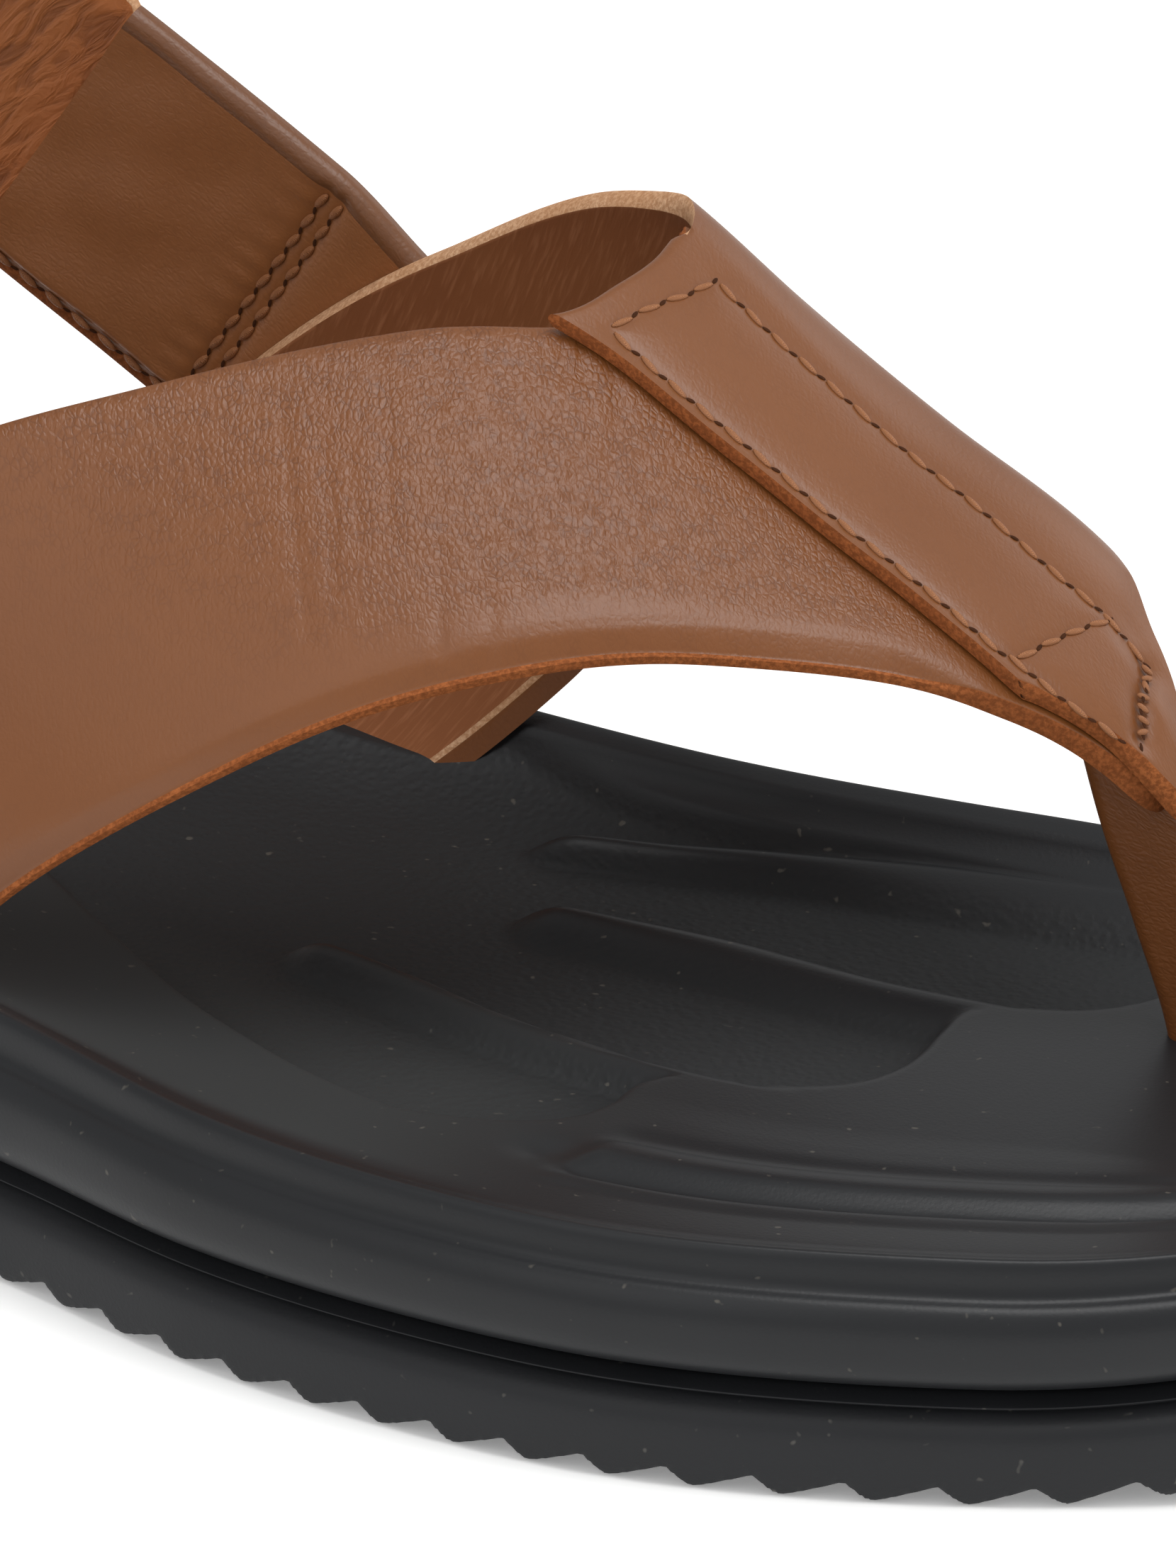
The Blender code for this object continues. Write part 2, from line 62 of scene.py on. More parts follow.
def smooth_through(at, values, x):
    """Smooth curve through the rows of a table, read at x, with the end values held."""
    slopes = np.gradient(values, at)
    x = np.clip(x, at[0], at[-1])
    k = np.clip(np.searchsorted(at, x, side="right") - 1, 0, len(at) - 2)
    span = at[k + 1] - at[k]
    t = (x - at[k]) / span
    start = (2 * t**3 - 3 * t**2 + 1) * values[k] + (t**3 - 2 * t**2 + t) * span * slopes[k]
    return start + (3 * t**2 - 2 * t**3) * values[k + 1] + (t**3 - t**2) * span * slopes[k + 1]


def table(names, rows):
    """One smooth function for each named column, read against the first column."""
    data = np.array(rows, float)
    return {name: partial(smooth_through, data[:, 0], data[:, i]) for i, name in enumerate(names) if i}


def soft_step(x):
    """Smooth rise from 0 to 1 while x goes from 0 to 1."""
    x = np.clip(x, 0, 1)
    return x * x * (3 - 2 * x)


OUTLINE = table(("share", "lateral", "medial", "midline"), (
    (0.00, 69.0, 69.0, 0.0),
    (0.12, 53.5, 53.0, 0.2),
    (0.25, 42.5, 38.5, 0.8),
    (0.38, 42.3, 32.3, 1.9),
    (0.53, 48.5, 35.7, 4.0),
    (0.60, 55.0, 37.8, 5.2),
    (0.67, 59.9, 41.8, 6.6),
    (0.74, 63.8, 46.6, 8.2),
    (0.83, 64.9, 49.0, 10.6),
    (0.92, 63.4, 48.0, 13.3),
    (1.00, 62.0, 52.0, 16.0),
))
LEVELS = table(("station", "parting", "floor", "rim", "cup"), (
    (0.0, 15.5, 27.5, 35.0, 26.0),
    (40.0, 14.5, 26.5, 35.5, 28.0),
    (75.0, 13.6, 25.0, 34.0, 26.0),
    (100.0, 12.4, 23.0, 31.0, 22.0),
    (125.0, 11.0, 20.3, 27.3, 17.0),
    (150.0, 9.8, 17.6, 24.3, 14.0),
    (175.0, 9.4, 16.2, 22.6, 13.0),
    (205.0, 9.3, 15.7, 22.0, 13.0),
    (235.0, 9.3, 15.7, 22.0, 13.0),
    (284.0, 9.2, 15.4, 20.6, 13.0),
))
OUTSOLE_SIDE = table(("step", "inset", "share"), (
    (0, 1.7, 0.00),
    (1, 1.2, 0.06),
    (2, 0.8, 0.22),
    (3, 0.6, 0.42),
    (4, 0.6, 0.58),
    (5, 0.8, 0.68),
    (6, 1.3, 0.76),
    (7, 2.1, 0.82),
    (8, 2.7, 0.86),
    (9, 2.2, 0.89),
    (10, 1.9, 0.91),
    (11, 2.6, 0.945),
    (12, 3.6, 1.00),
))


def toe_lift(station):
    """Rise of the whole sole towards the toe."""
    return TOE_SPRING * np.clip((station - TOE_ROLL_FROM) / (LENGTH - TOE_ROLL_FROM), 0, 2) ** 2


def ground(station):
    """Underside of the sole: level, with a rolled heel, a low arch and toe spring."""
    heel = HEEL_LIFT * np.clip(1 - station / HEEL_ROLL_TO, 0, 1) ** 2
    arch = np.clip(1 - ((station - ARCH_AT) / ARCH_REACH) ** 2, 0, 1) ** 2
    return heel + ARCH_LIFT * arch + toe_lift(station)


def level(name, station):
    """Height of a named level of the sole, with the toe's lift."""
    return LEVELS[name](station) + toe_lift(station)


def tooth_rise(points):
    """Height of the saw teeth's notches over the tread at plan points."""
    station, y = points[:, 0], points[:, 1]
    phase = np.mod(station - TOOTH_FIRST, TOOTH_PITCH)
    gentle = phase / (TOOTH_PITCH - TOOTH_FLANK)
    steep = (TOOTH_PITCH - phase) / TOOTH_FLANK
    aside = np.maximum(TREAD_STRIP[0] - y, y - TREAD_STRIP[1])
    inside = (station > TOOTH_FIRST) & (station < TOOTH_LAST)
    return TOOTH_DEPTH * np.minimum(gentle, steep) * soft_step(aside / TREAD_FADE) * inside


def plan(count, inset=0.0, crowd=0.0):
    """Points round the sole's plan from the heel by the lateral side, set in and crowded to the forefoot."""
    turn = np.linspace(0, 1, PLAN_TURNS + 1)
    share = (1 - np.cos(2 * np.pi * turn)) / 2
    full = np.where(turn <= 0.5, OUTLINE["lateral"](share), OUTLINE["medial"](share))
    edge = np.column_stack((LENGTH * share, OUTLINE["midline"](share) - np.sin(2 * np.pi * turn) * full))
    weight = 1 + crowd * soft_step((edge[1:, 0] - CROWD_FROM) / CROWD_OVER)
    run = np.concatenate(([0.0], np.cumsum(np.linalg.norm(np.diff(edge, axis=0), axis=1) * weight)))
    half = run[PLAN_TURNS // 2]
    even = np.concatenate((np.linspace(0, half, count // 2 + 1),
                           np.linspace(half, run[-1], count // 2 + 1)[1:-1]))
    points = np.column_stack([np.interp(even, run, edge[:, i]) for i in (0, 1)])
    along = np.roll(points, -1, axis=0) - np.roll(points, 1, axis=0)
    along /= np.linalg.norm(along, axis=1, keepdims=True)
    return points + inset * np.column_stack((-along[:, 1], along[:, 0]))


def toward_spine(ring, share):
    """Shrink a plan ring towards the midline of the sole, where both sides meet at share 1."""
    across = np.roll(ring[::-1], 1, axis=0)
    spine_x = np.clip((ring[:, 0] + across[:, 0]) / 2, SPINE_MARGIN, LENGTH - SPINE_MARGIN)
    spine = np.column_stack((spine_x, OUTLINE["midline"](spine_x / LENGTH)))
    return ring + share * (spine - ring)


def lay_grid(name, points, uv=None, zones=None, **masks):
    """A grid primitive laid on rows and columns of points in millimetres, with its UV map and finishes."""
    rows, columns = points.shape[:2]
    bpy.ops.object.select_all(action="DESELECT")
    bpy.ops.mesh.primitive_grid_add(x_subdivisions=columns - 1, y_subdivisions=rows - 1, size=1.0)
    piece = bpy.context.object
    piece.name = piece.data.name = name
    mesh = piece.data
    places = (points.reshape(-1, 3) - np.array(PLAN_MIDDLE)) * MILLIMETRE
    mesh.vertices.foreach_set("co", places.ravel())
    corner = np.zeros(len(mesh.loops), int)
    mesh.loops.foreach_get("vertex_index", corner)
    if uv is not None:
        mesh.uv_layers[0].data.foreach_set("uv", uv.reshape(-1, 2)[corner].ravel())
    if zones is not None:
        mesh.polygons.foreach_set("material_index", zones.ravel()[corner].reshape(-1, 4).max(axis=1))
    for mask, values in masks.items():
        mesh.attributes.new(mask, "FLOAT", "POINT").data.foreach_set("value", values.ravel())
    mesh.update()
    return piece


def close_up(piece, angle):
    """Merge the grid's meeting edges into one closed body, turn its faces outwards and smooth it."""
    bpy.ops.object.mode_set(mode="EDIT")
    bpy.ops.mesh.select_all(action="SELECT")
    bpy.ops.mesh.remove_doubles(threshold=1e-6)
    bpy.ops.mesh.dissolve_degenerate(threshold=1e-7)
    bpy.ops.mesh.normals_make_consistent(inside=False)
    bpy.ops.object.mode_set(mode="OBJECT")
    bpy.ops.object.shade_smooth_by_angle(angle=np.radians(angle))
    return piece


def ring_loop(rings):
    """Rings as rows of a grid, each closed by its first point."""
    stack = np.array(rings)
    return np.concatenate((stack, stack[:, :1]), axis=1)


def hex_colour(code):
    """Linear colour of an sRGB hex code."""
    parts = [int(code[i:i + 2], 16) / 255 for i in (1, 3, 5)]
    return [c / 12.92 if c <= 0.04045 else ((c + 0.055) / 1.055) ** 2.4 for c in parts] + [1.0]


def add_node(tree, kind, settings=None, links=None):
    """A shader node with its properties and sockets set and its inputs linked."""
    made = tree.nodes.new(kind)
    for key, value in (settings or {}).items():
        if isinstance(key, str) and hasattr(made, key):
            setattr(made, key, value)
        else:
            made.inputs[key].default_value = value
    for key, source in (links or {}).items():
        tree.links.new(source, made.inputs[key])
    return made


def new_material(name, settings):
    """A material with its principled shader set, and its node tree."""
    material = bpy.data.materials.new(name)
    material.use_nodes = True
    shader = material.node_tree.nodes["Principled BSDF"]
    for key, value in settings.items():
        shader.inputs[key].default_value = value
    return material, material.node_tree, shader


def fit_piece(piece, node=None, material=None):
    """Give a piece its place on the shoe, and its material where it has only one."""
    if material:
        piece.data.materials.append(material)
    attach(piece, "root")
    if node:
        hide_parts(node)


outsole_rings = []
outsole_edge = plan(OUTSOLE_AROUND, float(OUTSOLE_SIDE["inset"](0)))
for share in OUTSOLE_UNDER_SHARES:
    ring = toward_spine(outsole_edge, share)
    outsole_rings.append(np.column_stack((ring, ground(ring[:, 0]) + tooth_rise(ring))))
for step in OUTSOLE_SIDE_STEPS:
    ring = plan(OUTSOLE_AROUND, float(OUTSOLE_SIDE["inset"](step)))
    low = ground(ring[:, 0])
    height = low + OUTSOLE_SIDE["share"](step) * (level("parting", ring[:, 0]) - low)
    outsole_rings.append(np.column_stack((ring, np.maximum(height, low + tooth_rise(ring)))))
for share in OUTSOLE_TOP_SHARES:
    ring = toward_spine(plan(OUTSOLE_AROUND, float(OUTSOLE_SIDE["inset"](OUTSOLE_SIDE_STEPS[-1]))), share)
    outsole_rings.append(np.column_stack((ring, level("parting", ring[:, 0]))))
outsole = close_up(lay_grid("outsole_unit", ring_loop(outsole_rings)), OUTSOLE_SHARP)

rubber, tree, shader = new_material("moulded_black_rubber", {"IOR": 1.5, "Specular IOR Level": 0.3})
place = add_node(tree, "ShaderNodeTexCoord").outputs["Object"]
# mottle 14 mm across, mould grain 0.3 mm, and dust specks drawn at 0.6 mm so that they show
mottle = add_node(tree, "ShaderNodeTexNoise", {"Scale": 70.0, "Detail": 3.0}, {"Vector": place})
grain = add_node(tree, "ShaderNodeTexNoise", {"Scale": 3000.0, "Detail": 2.0}, {"Vector": place})
speck = add_node(tree, "ShaderNodeTexNoise", {"Scale": 800.0, "Detail": 1.0}, {"Vector": place})
tint = add_node(tree, "ShaderNodeMix", {"data_type": "RGBA", 6: hex_colour("#17181a"), 7: hex_colour("#1f2023")},
                {0: mottle.outputs["Fac"]})
dust = add_node(tree, "ShaderNodeMapRange", {"From Min": 0.73, "From Max": 0.8, "To Max": 0.35},
                {"Value": speck.outputs["Fac"]})
dusted = add_node(tree, "ShaderNodeMix", {"data_type": "RGBA", 7: hex_colour("#77736c")},
                  {0: dust.outputs["Result"], 6: tint.outputs[2]})
dull = add_node(tree, "ShaderNodeMapRange", {"To Min": 0.44, "To Max": 0.62}, {"Value": mottle.outputs["Fac"]})
relief = add_node(tree, "ShaderNodeBump", {"Strength": 0.35, "Distance": 0.00006},
                  {"Height": grain.outputs["Fac"]})
tree.links.new(dusted.outputs[2], shader.inputs["Base Color"])
tree.links.new(dull.outputs["Result"], shader.inputs["Roughness"])
tree.links.new(relief.outputs["Normal"], shader.inputs["Normal"])
fit_piece(outsole, "outsole", rubber)

# Footbed: midsole and footbed moulded in one black foam piece, with a sharp rim, soft steps down its side
# and a rounded band over the groove. Its forefoot has a pebbled hollow with ridges that run into a
# smooth toe platform; a rib with a rounded nose follows the rim round the toe.
FOOTBED_AROUND, FOOTBED_CROWD, FOOTBED_SHARP = 800, 1.3, 80.0
PARTING_GAP, LIP_DEPTH = 0.3, 2.0
FOOTBED_SIDE_STEPS = np.concatenate((np.linspace(0, 4.5, 10), np.linspace(4.8, 6.6, 8), np.linspace(6.8, 13, 23)))
FOOTBED_UNDER_SHARES = (1.0, 0.5)
FOOTBED_TOP_SHARES = np.concatenate((np.linspace(0.015, 0.66, 62), np.linspace(0.685, 1.0, 17)))
PLATFORM_RISE, PLATFORM_WALL, SLOPE_STEP = 2.3, 2.6, 0.2
HOLLOW_BACK = 95.0
RIDGE_BACK, RIDGE_NOSE, RIDGE_FOOT, RIDGE_CROWN = 2.6, 4.5, 0.12, 0.9
DISH_WIDER, DISH_FROM, DISH_OVER = 17.0, 150.0, 40.0
DISH_EDGE, DISH_FADE, TOE_DISH_FROM, TOE_DISH_OVER = 14.0, 24.0, 236.0, 20.0
DISH_CURVE, DISH_EASED, DISH_LEVEL = 2.0, 0.6, 0.75
RIB_FROM, RIB_NOSE, RIB_MEDIAL_LATER, RIB_MEDIAL_FROM, RIB_MEDIAL_OVER = 196.0, 4.0, 34.0, -10.0, 20.0
DIMPLE_AT, DIMPLE_DEPTH, DIMPLE_REACH = (194.5, -31.0), 0.8, 2.6
RIM_LIP, MEDIAL_LIP, LIP_FADE = 0.3, 1.0, 1.5
LATERAL_LOWER, LOWER_ACROSS, LOWER_FROM, LOWER_OVER = 1.1, 15.0, 0.7, 0.2
# the paler tint in the hollows and inside the lateral rim is painted fill light, lifting their shade
PALER_HOLLOW, PALER_FROM, PALER_TO, PALER_OVER = 0.36, 80.0, 205.0, 30.0
PALER_RIM, PALER_ACROSS = 3.0, 20.0
CREASE_SHARE, CREASE_CUT, CREASE_NARROW = 0.52, 0.7, 0.035
CREASE_HEEL, CREASE_HEEL_FADE, CREASE_STATION, CREASE_FADE = 60.0, 40.0, 148.0, 12.0
FOOTBED_SIDE = table(("step", "inset", "share"), (
    (0, 3.6, 0.00),
    (1, 2.2, 0.03),
    (2, 0.9, 0.10),
    (3, 0.2, 0.21),
    (4, 0.0, 0.34),
    (5, 0.2, 0.48),
    (6, 0.7, 0.58),
    (7, 1.3, 0.635),
    (8, 2.1, 0.665),
    (9, 2.5, 0.73),
    (10, 2.7, 0.90),
    (11, 3.1, 0.99),
    (12, 3.8, 0.995),
    (13, 5.5, 0.945),
))
HOLLOW = table(("station", "lateral", "medial"), (
    (96.0, 10.0, 12.0),
    (102.0, 5.0, 18.0),
    (112.0, -1.0, 24.0),
    (128.0, -9.5, 33.5),
    (142.0, -17.0, 36.5),
    (155.0, -23.5, 34.5),
    (162.5, -26.2, 33.6),
    (170.0, -28.7, 34.0),
    (177.0, -30.6, 35.0),
    (190.0, -32.0, 37.5),
    (210.0, -33.0, 40.5),
    (240.0, -36.0, 45.0),
))
PLATFORM = table(("y", "edge"), (
    (-34.0, 172.0),
    (-31.5, 179.5),
    (-29.2, 186.5),
    (-26.5, 190.6),
    (-23.7, 192.8),
    (-19.0, 194.0),
    (-13.4, 194.2),
    (-11.5, 195.8),
    (-10.4, 198.6),
    (-9.1, 202.2),
    (-7.2, 205.6),
    (-4.7, 208.4),
    (-0.9, 210.2),
    (4.0, 210.4),
    (9.0, 209.6),
    (13.0, 209.6),
    (15.2, 212.0),
    (17.6, 216.6),
    (21.2, 220.2),
    (25.0, 221.8),
    (30.0, 222.2),
    (35.0, 221.6),
    (40.0, 223.0),
    (46.0, 232.0),
))
RIDGES = (
    table(("station", "crest", "slope"), (
        (158.0, 22.6, 2.3),
        (164.0, 25.3, 2.4),
        (170.0, 27.5, 2.5),
        (177.0, 30.4, 2.8),
        (184.5, 33.0, 3.6),
        (192.0, 35.3, 4.9),
        (200.0, 37.3, 5.7),
        (210.0, 39.5, 5.9),
        (224.0, 42.0, 5.9),
    )),
    table(("station", "crest", "slope"), (
        (165.0, 10.3, 3.4),
        (171.0, 11.9, 4.2),
        (176.0, 12.7, 4.7),
        (181.5, 13.5, 5.3),
        (187.0, 13.9, 5.5),
        (193.0, 13.8, 5.1),
        (199.0, 13.7, 4.8),
        (205.0, 14.2, 4.8),
        (224.0, 17.0, 4.8),
    )),
    table(("station", "crest", "slope"), (
        (153.0, -6.9, 2.7),
        (162.0, -7.2, 2.8),
        (168.5, -8.2, 2.9),
        (175.5, -9.6, 2.9),
        (181.5, -10.2, 2.8),
        (187.5, -10.6, 2.8),
        (193.5, -10.8, 2.8),
        (199.0, -10.4, 2.8),
        (224.0, -9.0, 2.8),
    )),
)
RIDGE_NOSES = (158.6, 165.4, 153.4)
SEAT_Y, SEAT_SLOPE, SEAT_UNDER, SEAT_LINE = 30.6, 1.3, 0.4, 1.15
SEAT_FROM, SEAT_FROM_FADE, SEAT_TO, SEAT_TO_FADE, SEAT_MEDIAL = 99.0, 3.0, 144.0, 4.0, 15.0
STRAP_SEAT = table(("station", "height"), (
    (90.0, 31.5),
    (100.0, 29.1),
    (110.0, 26.9),
    (120.0, 25.1),
    (130.0, 23.6),
    (136.0, 22.8),
    (142.0, 22.0),
    (148.0, 21.4),
    (160.0, 20.4),
))
RIB = table(("depth", "rise"), (
    (8.0, 0.00),
    (9.4, 0.22),
    (10.4, 0.22),
    (11.4, -0.35),
    (12.4, -0.60),
    (13.4, -0.10),
    (14.8, 0.75),
    (16.6, 1.00),
    (18.6, 0.66),
    (20.4, -0.18),
    (21.8, -0.34),
    (23.6, -0.10),
    (26.0, 0.00),
))


def rim_crest(points):
    """Height of the rim's crest, a little lower along the lateral side."""
    return level("rim", points[:, 0]) - LATERAL_LOWER * soft_step(-points[:, 1] / LOWER_ACROSS)


def footbed_top(points, depth):
    """Height of the footbed at plan points, each at a depth in from the rim's crest, and its share of pebble."""
    station, y = points[:, 0], points[:, 1]
    slope = PLATFORM["edge"](y + SLOPE_STEP) - PLATFORM["edge"](y - SLOPE_STEP)
    ahead = (PLATFORM["edge"](y) - station) / np.hypot(1, slope / (2 * SLOPE_STEP))
    inside = np.minimum(np.minimum(y - HOLLOW["lateral"](station), HOLLOW["medial"](station) - y),
                        np.minimum(ahead, station - HOLLOW_BACK))
    rise = 1 - soft_step(inside / PLATFORM_WALL)
    for ridge, nose in zip(RIDGES, RIDGE_NOSES):
        crest, width = ridge["crest"](station), ridge["slope"](station)
        across = np.where(y < crest, (crest - y) / width, (y - crest) / RIDGE_BACK)
        before = np.clip(1 - (station - nose) / RIDGE_NOSE, 0, None)
        crown = 1 - (across**2 + before**2) ** RIDGE_CROWN
        rise = np.maximum(rise, (np.hypot(crown, RIDGE_FOOT) + crown) / 2)
    wide = soft_step((station - DISH_FROM) / DISH_OVER) * soft_step((DISH_EDGE - y) / DISH_FADE)
    wide = np.maximum(wide, soft_step((station - TOE_DISH_FROM) / TOE_DISH_OVER))
    climb = np.clip(1 - depth / (LEVELS["cup"](station) + DISH_WIDER * wide), 0, 1)
    climb = climb ** (DISH_CURVE - DISH_EASED * wide) * (1 - DISH_LEVEL * (1 - rise) * wide)
    later = RIB_MEDIAL_LATER * soft_step((y - RIB_MEDIAL_FROM) / RIB_MEDIAL_OVER)
    nose = soft_step((station - RIB_FROM - later) / RIB_NOSE)
    dimple = np.hypot(station - DIMPLE_AT[0], y - DIMPLE_AT[1]) / DIMPLE_REACH
    floor = level("floor", station)
    lip = MEDIAL_LIP + (RIM_LIP - MEDIAL_LIP) * wide
    height = floor + (rim_crest(points) - floor - lip) * climb + PLATFORM_RISE * rise * (1 - climb)
    return height + nose * RIB["rise"](depth) - DIMPLE_DEPTH * np.exp(-dimple**2), (1 - rise) * (1 - climb)


def strap_let_in(ring):
    """A ring of the footbed cut back to lie under the inside of the medial strap, where that runs in."""
    station, y, height = ring.T
    seat = STRAP_SEAT["height"](station)
    room = np.maximum(seat + SEAT_SLOPE * (y - SEAT_Y) - SEAT_UNDER, seat - SEAT_LINE)
    near = soft_step((station - SEAT_FROM) / SEAT_FROM_FADE) * (1 - soft_step((station - SEAT_TO) / SEAT_TO_FADE))
    near = near * (y > SEAT_MEDIAL)
    return np.column_stack((station, y, height - np.maximum(height - room, 0) * near))


def footbed_plan(inset):
    """A ring of the footbed's plan, set in."""
    return plan(FOOTBED_AROUND, float(inset), FOOTBED_CROWD)


footbed_rings, pebble_rings, paler_rings = [], [], []
for share in FOOTBED_UNDER_SHARES:
    ring = toward_spine(footbed_plan(FOOTBED_SIDE["inset"](0)), share)
    footbed_rings.append(np.column_stack((ring, level("parting", ring[:, 0]) + PARTING_GAP)))
for step in FOOTBED_SIDE_STEPS:
    ring, share = footbed_plan(FOOTBED_SIDE["inset"](step)), FOOTBED_SIDE["share"](step)
    fold = CREASE_CUT * np.exp(-((share - CREASE_SHARE) / CREASE_NARROW) ** 2)
    fold = fold * soft_step((CREASE_STATION - ring[:, 0]) / CREASE_FADE)
    fold = fold * soft_step((ring[:, 0] - CREASE_HEEL) / CREASE_HEEL_FADE) * (ring[:, 1] < 0)
    inner = footbed_plan(FOOTBED_SIDE["inset"](step) + 1)
    ring = ring + fold[:, None] * (inner - ring)
    low = level("parting", ring[:, 0]) + PARTING_GAP
    rim = level("rim", ring[:, 0])
    drop = (rim - rim_crest(ring)) * soft_step((share - LOWER_FROM) / LOWER_OVER)
    footbed_rings.append(np.column_stack((ring, low + share * (rim - low) - drop)))
pebble_rings += [np.zeros(FOOTBED_AROUND)] * len(footbed_rings)
paler_rings += pebble_rings
footbed_lip = footbed_plan(FOOTBED_SIDE["inset"](FOOTBED_SIDE_STEPS[-1]))
lip_step = footbed_rings[-1][:, 2] - footbed_top(footbed_lip, np.full(FOOTBED_AROUND, LIP_DEPTH))[0]
for share in FOOTBED_TOP_SHARES:
    ring = toward_spine(footbed_lip, share)
    depth = np.linalg.norm(ring - footbed_lip, axis=1)
    height, pebble = footbed_top(ring, LIP_DEPTH + depth)
    footbed_rings.append(np.column_stack((ring, height + lip_step * np.exp(-depth / LIP_FADE))))
    pebble_rings.append(pebble)
    # painted fill light inside the lateral rim, where the lateral strap shades it
    fill_under_strap = soft_step((PALER_TO - ring[:, 0]) / PALER_OVER) * soft_step((ring[:, 0] - PALER_FROM) / PALER_OVER)
    fill_under_strap = fill_under_strap * soft_step(depth / PALER_RIM) * soft_step(-ring[:, 1] / PALER_ACROSS)
    paler_rings.append(np.maximum(PALER_HOLLOW * pebble, fill_under_strap))
footbed_rings = [strap_let_in(ring) for ring in footbed_rings]
footbed = lay_grid("footbed_moulding", ring_loop(footbed_rings), pebble=ring_loop(pebble_rings),
                   paler=ring_loop(paler_rings))
close_up(footbed, FOOTBED_SHARP)

# Black foam with a satin moulded skin: pebbled and dull in the hollows; its paler tint there and inside the
# lateral rim is painted fill light.
foam, tree, shader = new_material("moulded_black_foam", {"IOR": 1.48, "Specular IOR Level": 0.3})
place = add_node(tree, "ShaderNodeTexCoord").outputs["Object"]
hollow = add_node(tree, "ShaderNodeAttribute", {"attribute_name": "pebble"}).outputs["Fac"]
# pebble 0.7 mm across in the hollows, satin skin grain of 0.35 mm elsewhere, mottle 17 mm across, and
# dust drawn at 0.6 mm so that it shows
mottle = add_node(tree, "ShaderNodeTexNoise", {"Scale": 60.0, "Detail": 3.0}, {"Vector": place})
pebbles = add_node(tree, "ShaderNodeTexVoronoi", {"feature": "SMOOTH_F1", "Scale": 1450.0}, {"Vector": place})
skin = add_node(tree, "ShaderNodeTexNoise", {"Scale": 2800.0, "Detail": 2.0}, {"Vector": place})
speck = add_node(tree, "ShaderNodeTexNoise", {"Scale": 900.0, "Detail": 1.0}, {"Vector": place})
tint = add_node(tree, "ShaderNodeMix", {"data_type": "RGBA", 6: hex_colour("#1a1b1d"), 7: hex_colour("#202123")},
                {0: mottle.outputs["Fac"]})
# the paler tint is painted fill light over the shaded hollows and lateral rim
paler = add_node(tree, "ShaderNodeAttribute", {"attribute_name": "paler"}).outputs["Fac"]
sunk = add_node(tree, "ShaderNodeMapRange", {"To Max": 0.75}, {"Value": paler})
tint = add_node(tree, "ShaderNodeMix", {"data_type": "RGBA", 7: hex_colour("#333535")},
                {0: sunk.outputs["Result"], 6: tint.outputs[2]})
dust = add_node(tree, "ShaderNodeMapRange", {"From Min": 0.74, "From Max": 0.8, "To Max": 0.3},
                {"Value": speck.outputs["Fac"]})
dusted = add_node(tree, "ShaderNodeMix", {"data_type": "RGBA", 7: hex_colour("#7b756a")},
                  {0: dust.outputs["Result"], 6: tint.outputs[2]})
worn = add_node(tree, "ShaderNodeMath", {"operation": "MAXIMUM"}, {0: hollow, 1: paler})
dull = add_node(tree, "ShaderNodeMapRange", {"To Min": 0.39, "To Max": 0.7}, {"Value": worn.outputs[0]})
skin_relief = add_node(tree, "ShaderNodeBump", {"Strength": 0.3, "Distance": 0.00005},
                       {"Height": skin.outputs["Fac"]})
relief = add_node(tree, "ShaderNodeBump", {"Distance": 0.00014, "invert": True},
                  {"Height": pebbles.outputs["Distance"], "Strength": hollow,
                   "Normal": skin_relief.outputs["Normal"]})
tree.links.new(dusted.outputs[2], shader.inputs["Base Color"])
tree.links.new(dull.outputs["Result"], shader.inputs["Roughness"])
tree.links.new(relief.outputs["Normal"], shader.inputs["Normal"])
fit_piece(footbed, "footbed", foam)

# Lateral strap: one wide band of brown full-grain leather, cut to shape and lasted over the foot, its end
# tucked into the footbed's slot. A line is pressed in behind its front edge, which is cut raw on the slant,
# and the grain breaks into fine upright wrinkles where it bends towards the seam.
LEATHER = 1.7
SLOT_DEPTH = 4.2
TUCK_HEIGHT, LATERAL_TUCK, MEDIAL_TUCK = 30.0, 4.0, 18.0
SEAM, LATERAL_END = 0.462, 0.57
LAST_FROM, LAST_TO, LAST_PITCH = 44.0, 240.0, 2.0
LAST_GIRTHS, LAST_ANGLES, LAST_SMOOTHED = 241, 721, 12
STATION_STEP, GIRTH_STEP, EDGE_STEPS = 1.5, 0.01, 5
GIRTH_LENGTH = 205.0
CUT_BULGE, FRONT_SLANT, FULL_THICK, LEATHER_SHARP = 0.14, 0.5, 0.99, 70.0
LATERAL_ROWS, LATERAL_COLUMNS, LATERAL_SKEW = 121, 281, 0.82
PRESS_LINE, PRESS_FURTHER, FURTHER_FROM, FURTHER_OVER = 2.6, 1.0, 0.33, 0.08
EDGE_ROLL, ROLL_CURVE, PRESS_GROOVE, GROOVE_WIDE = 1.0, 1.3, 0.07, 0.4
PRESS_TO, PRESS_FADE, BACK_ROLL, BACK_ROLL_WIDE = 0.43, 0.03, 0.35, 1.8
BREAK_FROM, BREAK_OVER, CALM, CALM_FROM, CALM_OVER = 0.2, 0.14, 0.7, 0.44, 0.04
PLAIN_GRAIN, EDGE_GRAIN, EDGE_GRAIN_TO, EDGE_GRAIN_OVER = 0.15, 0.2, 3.5, 4.0
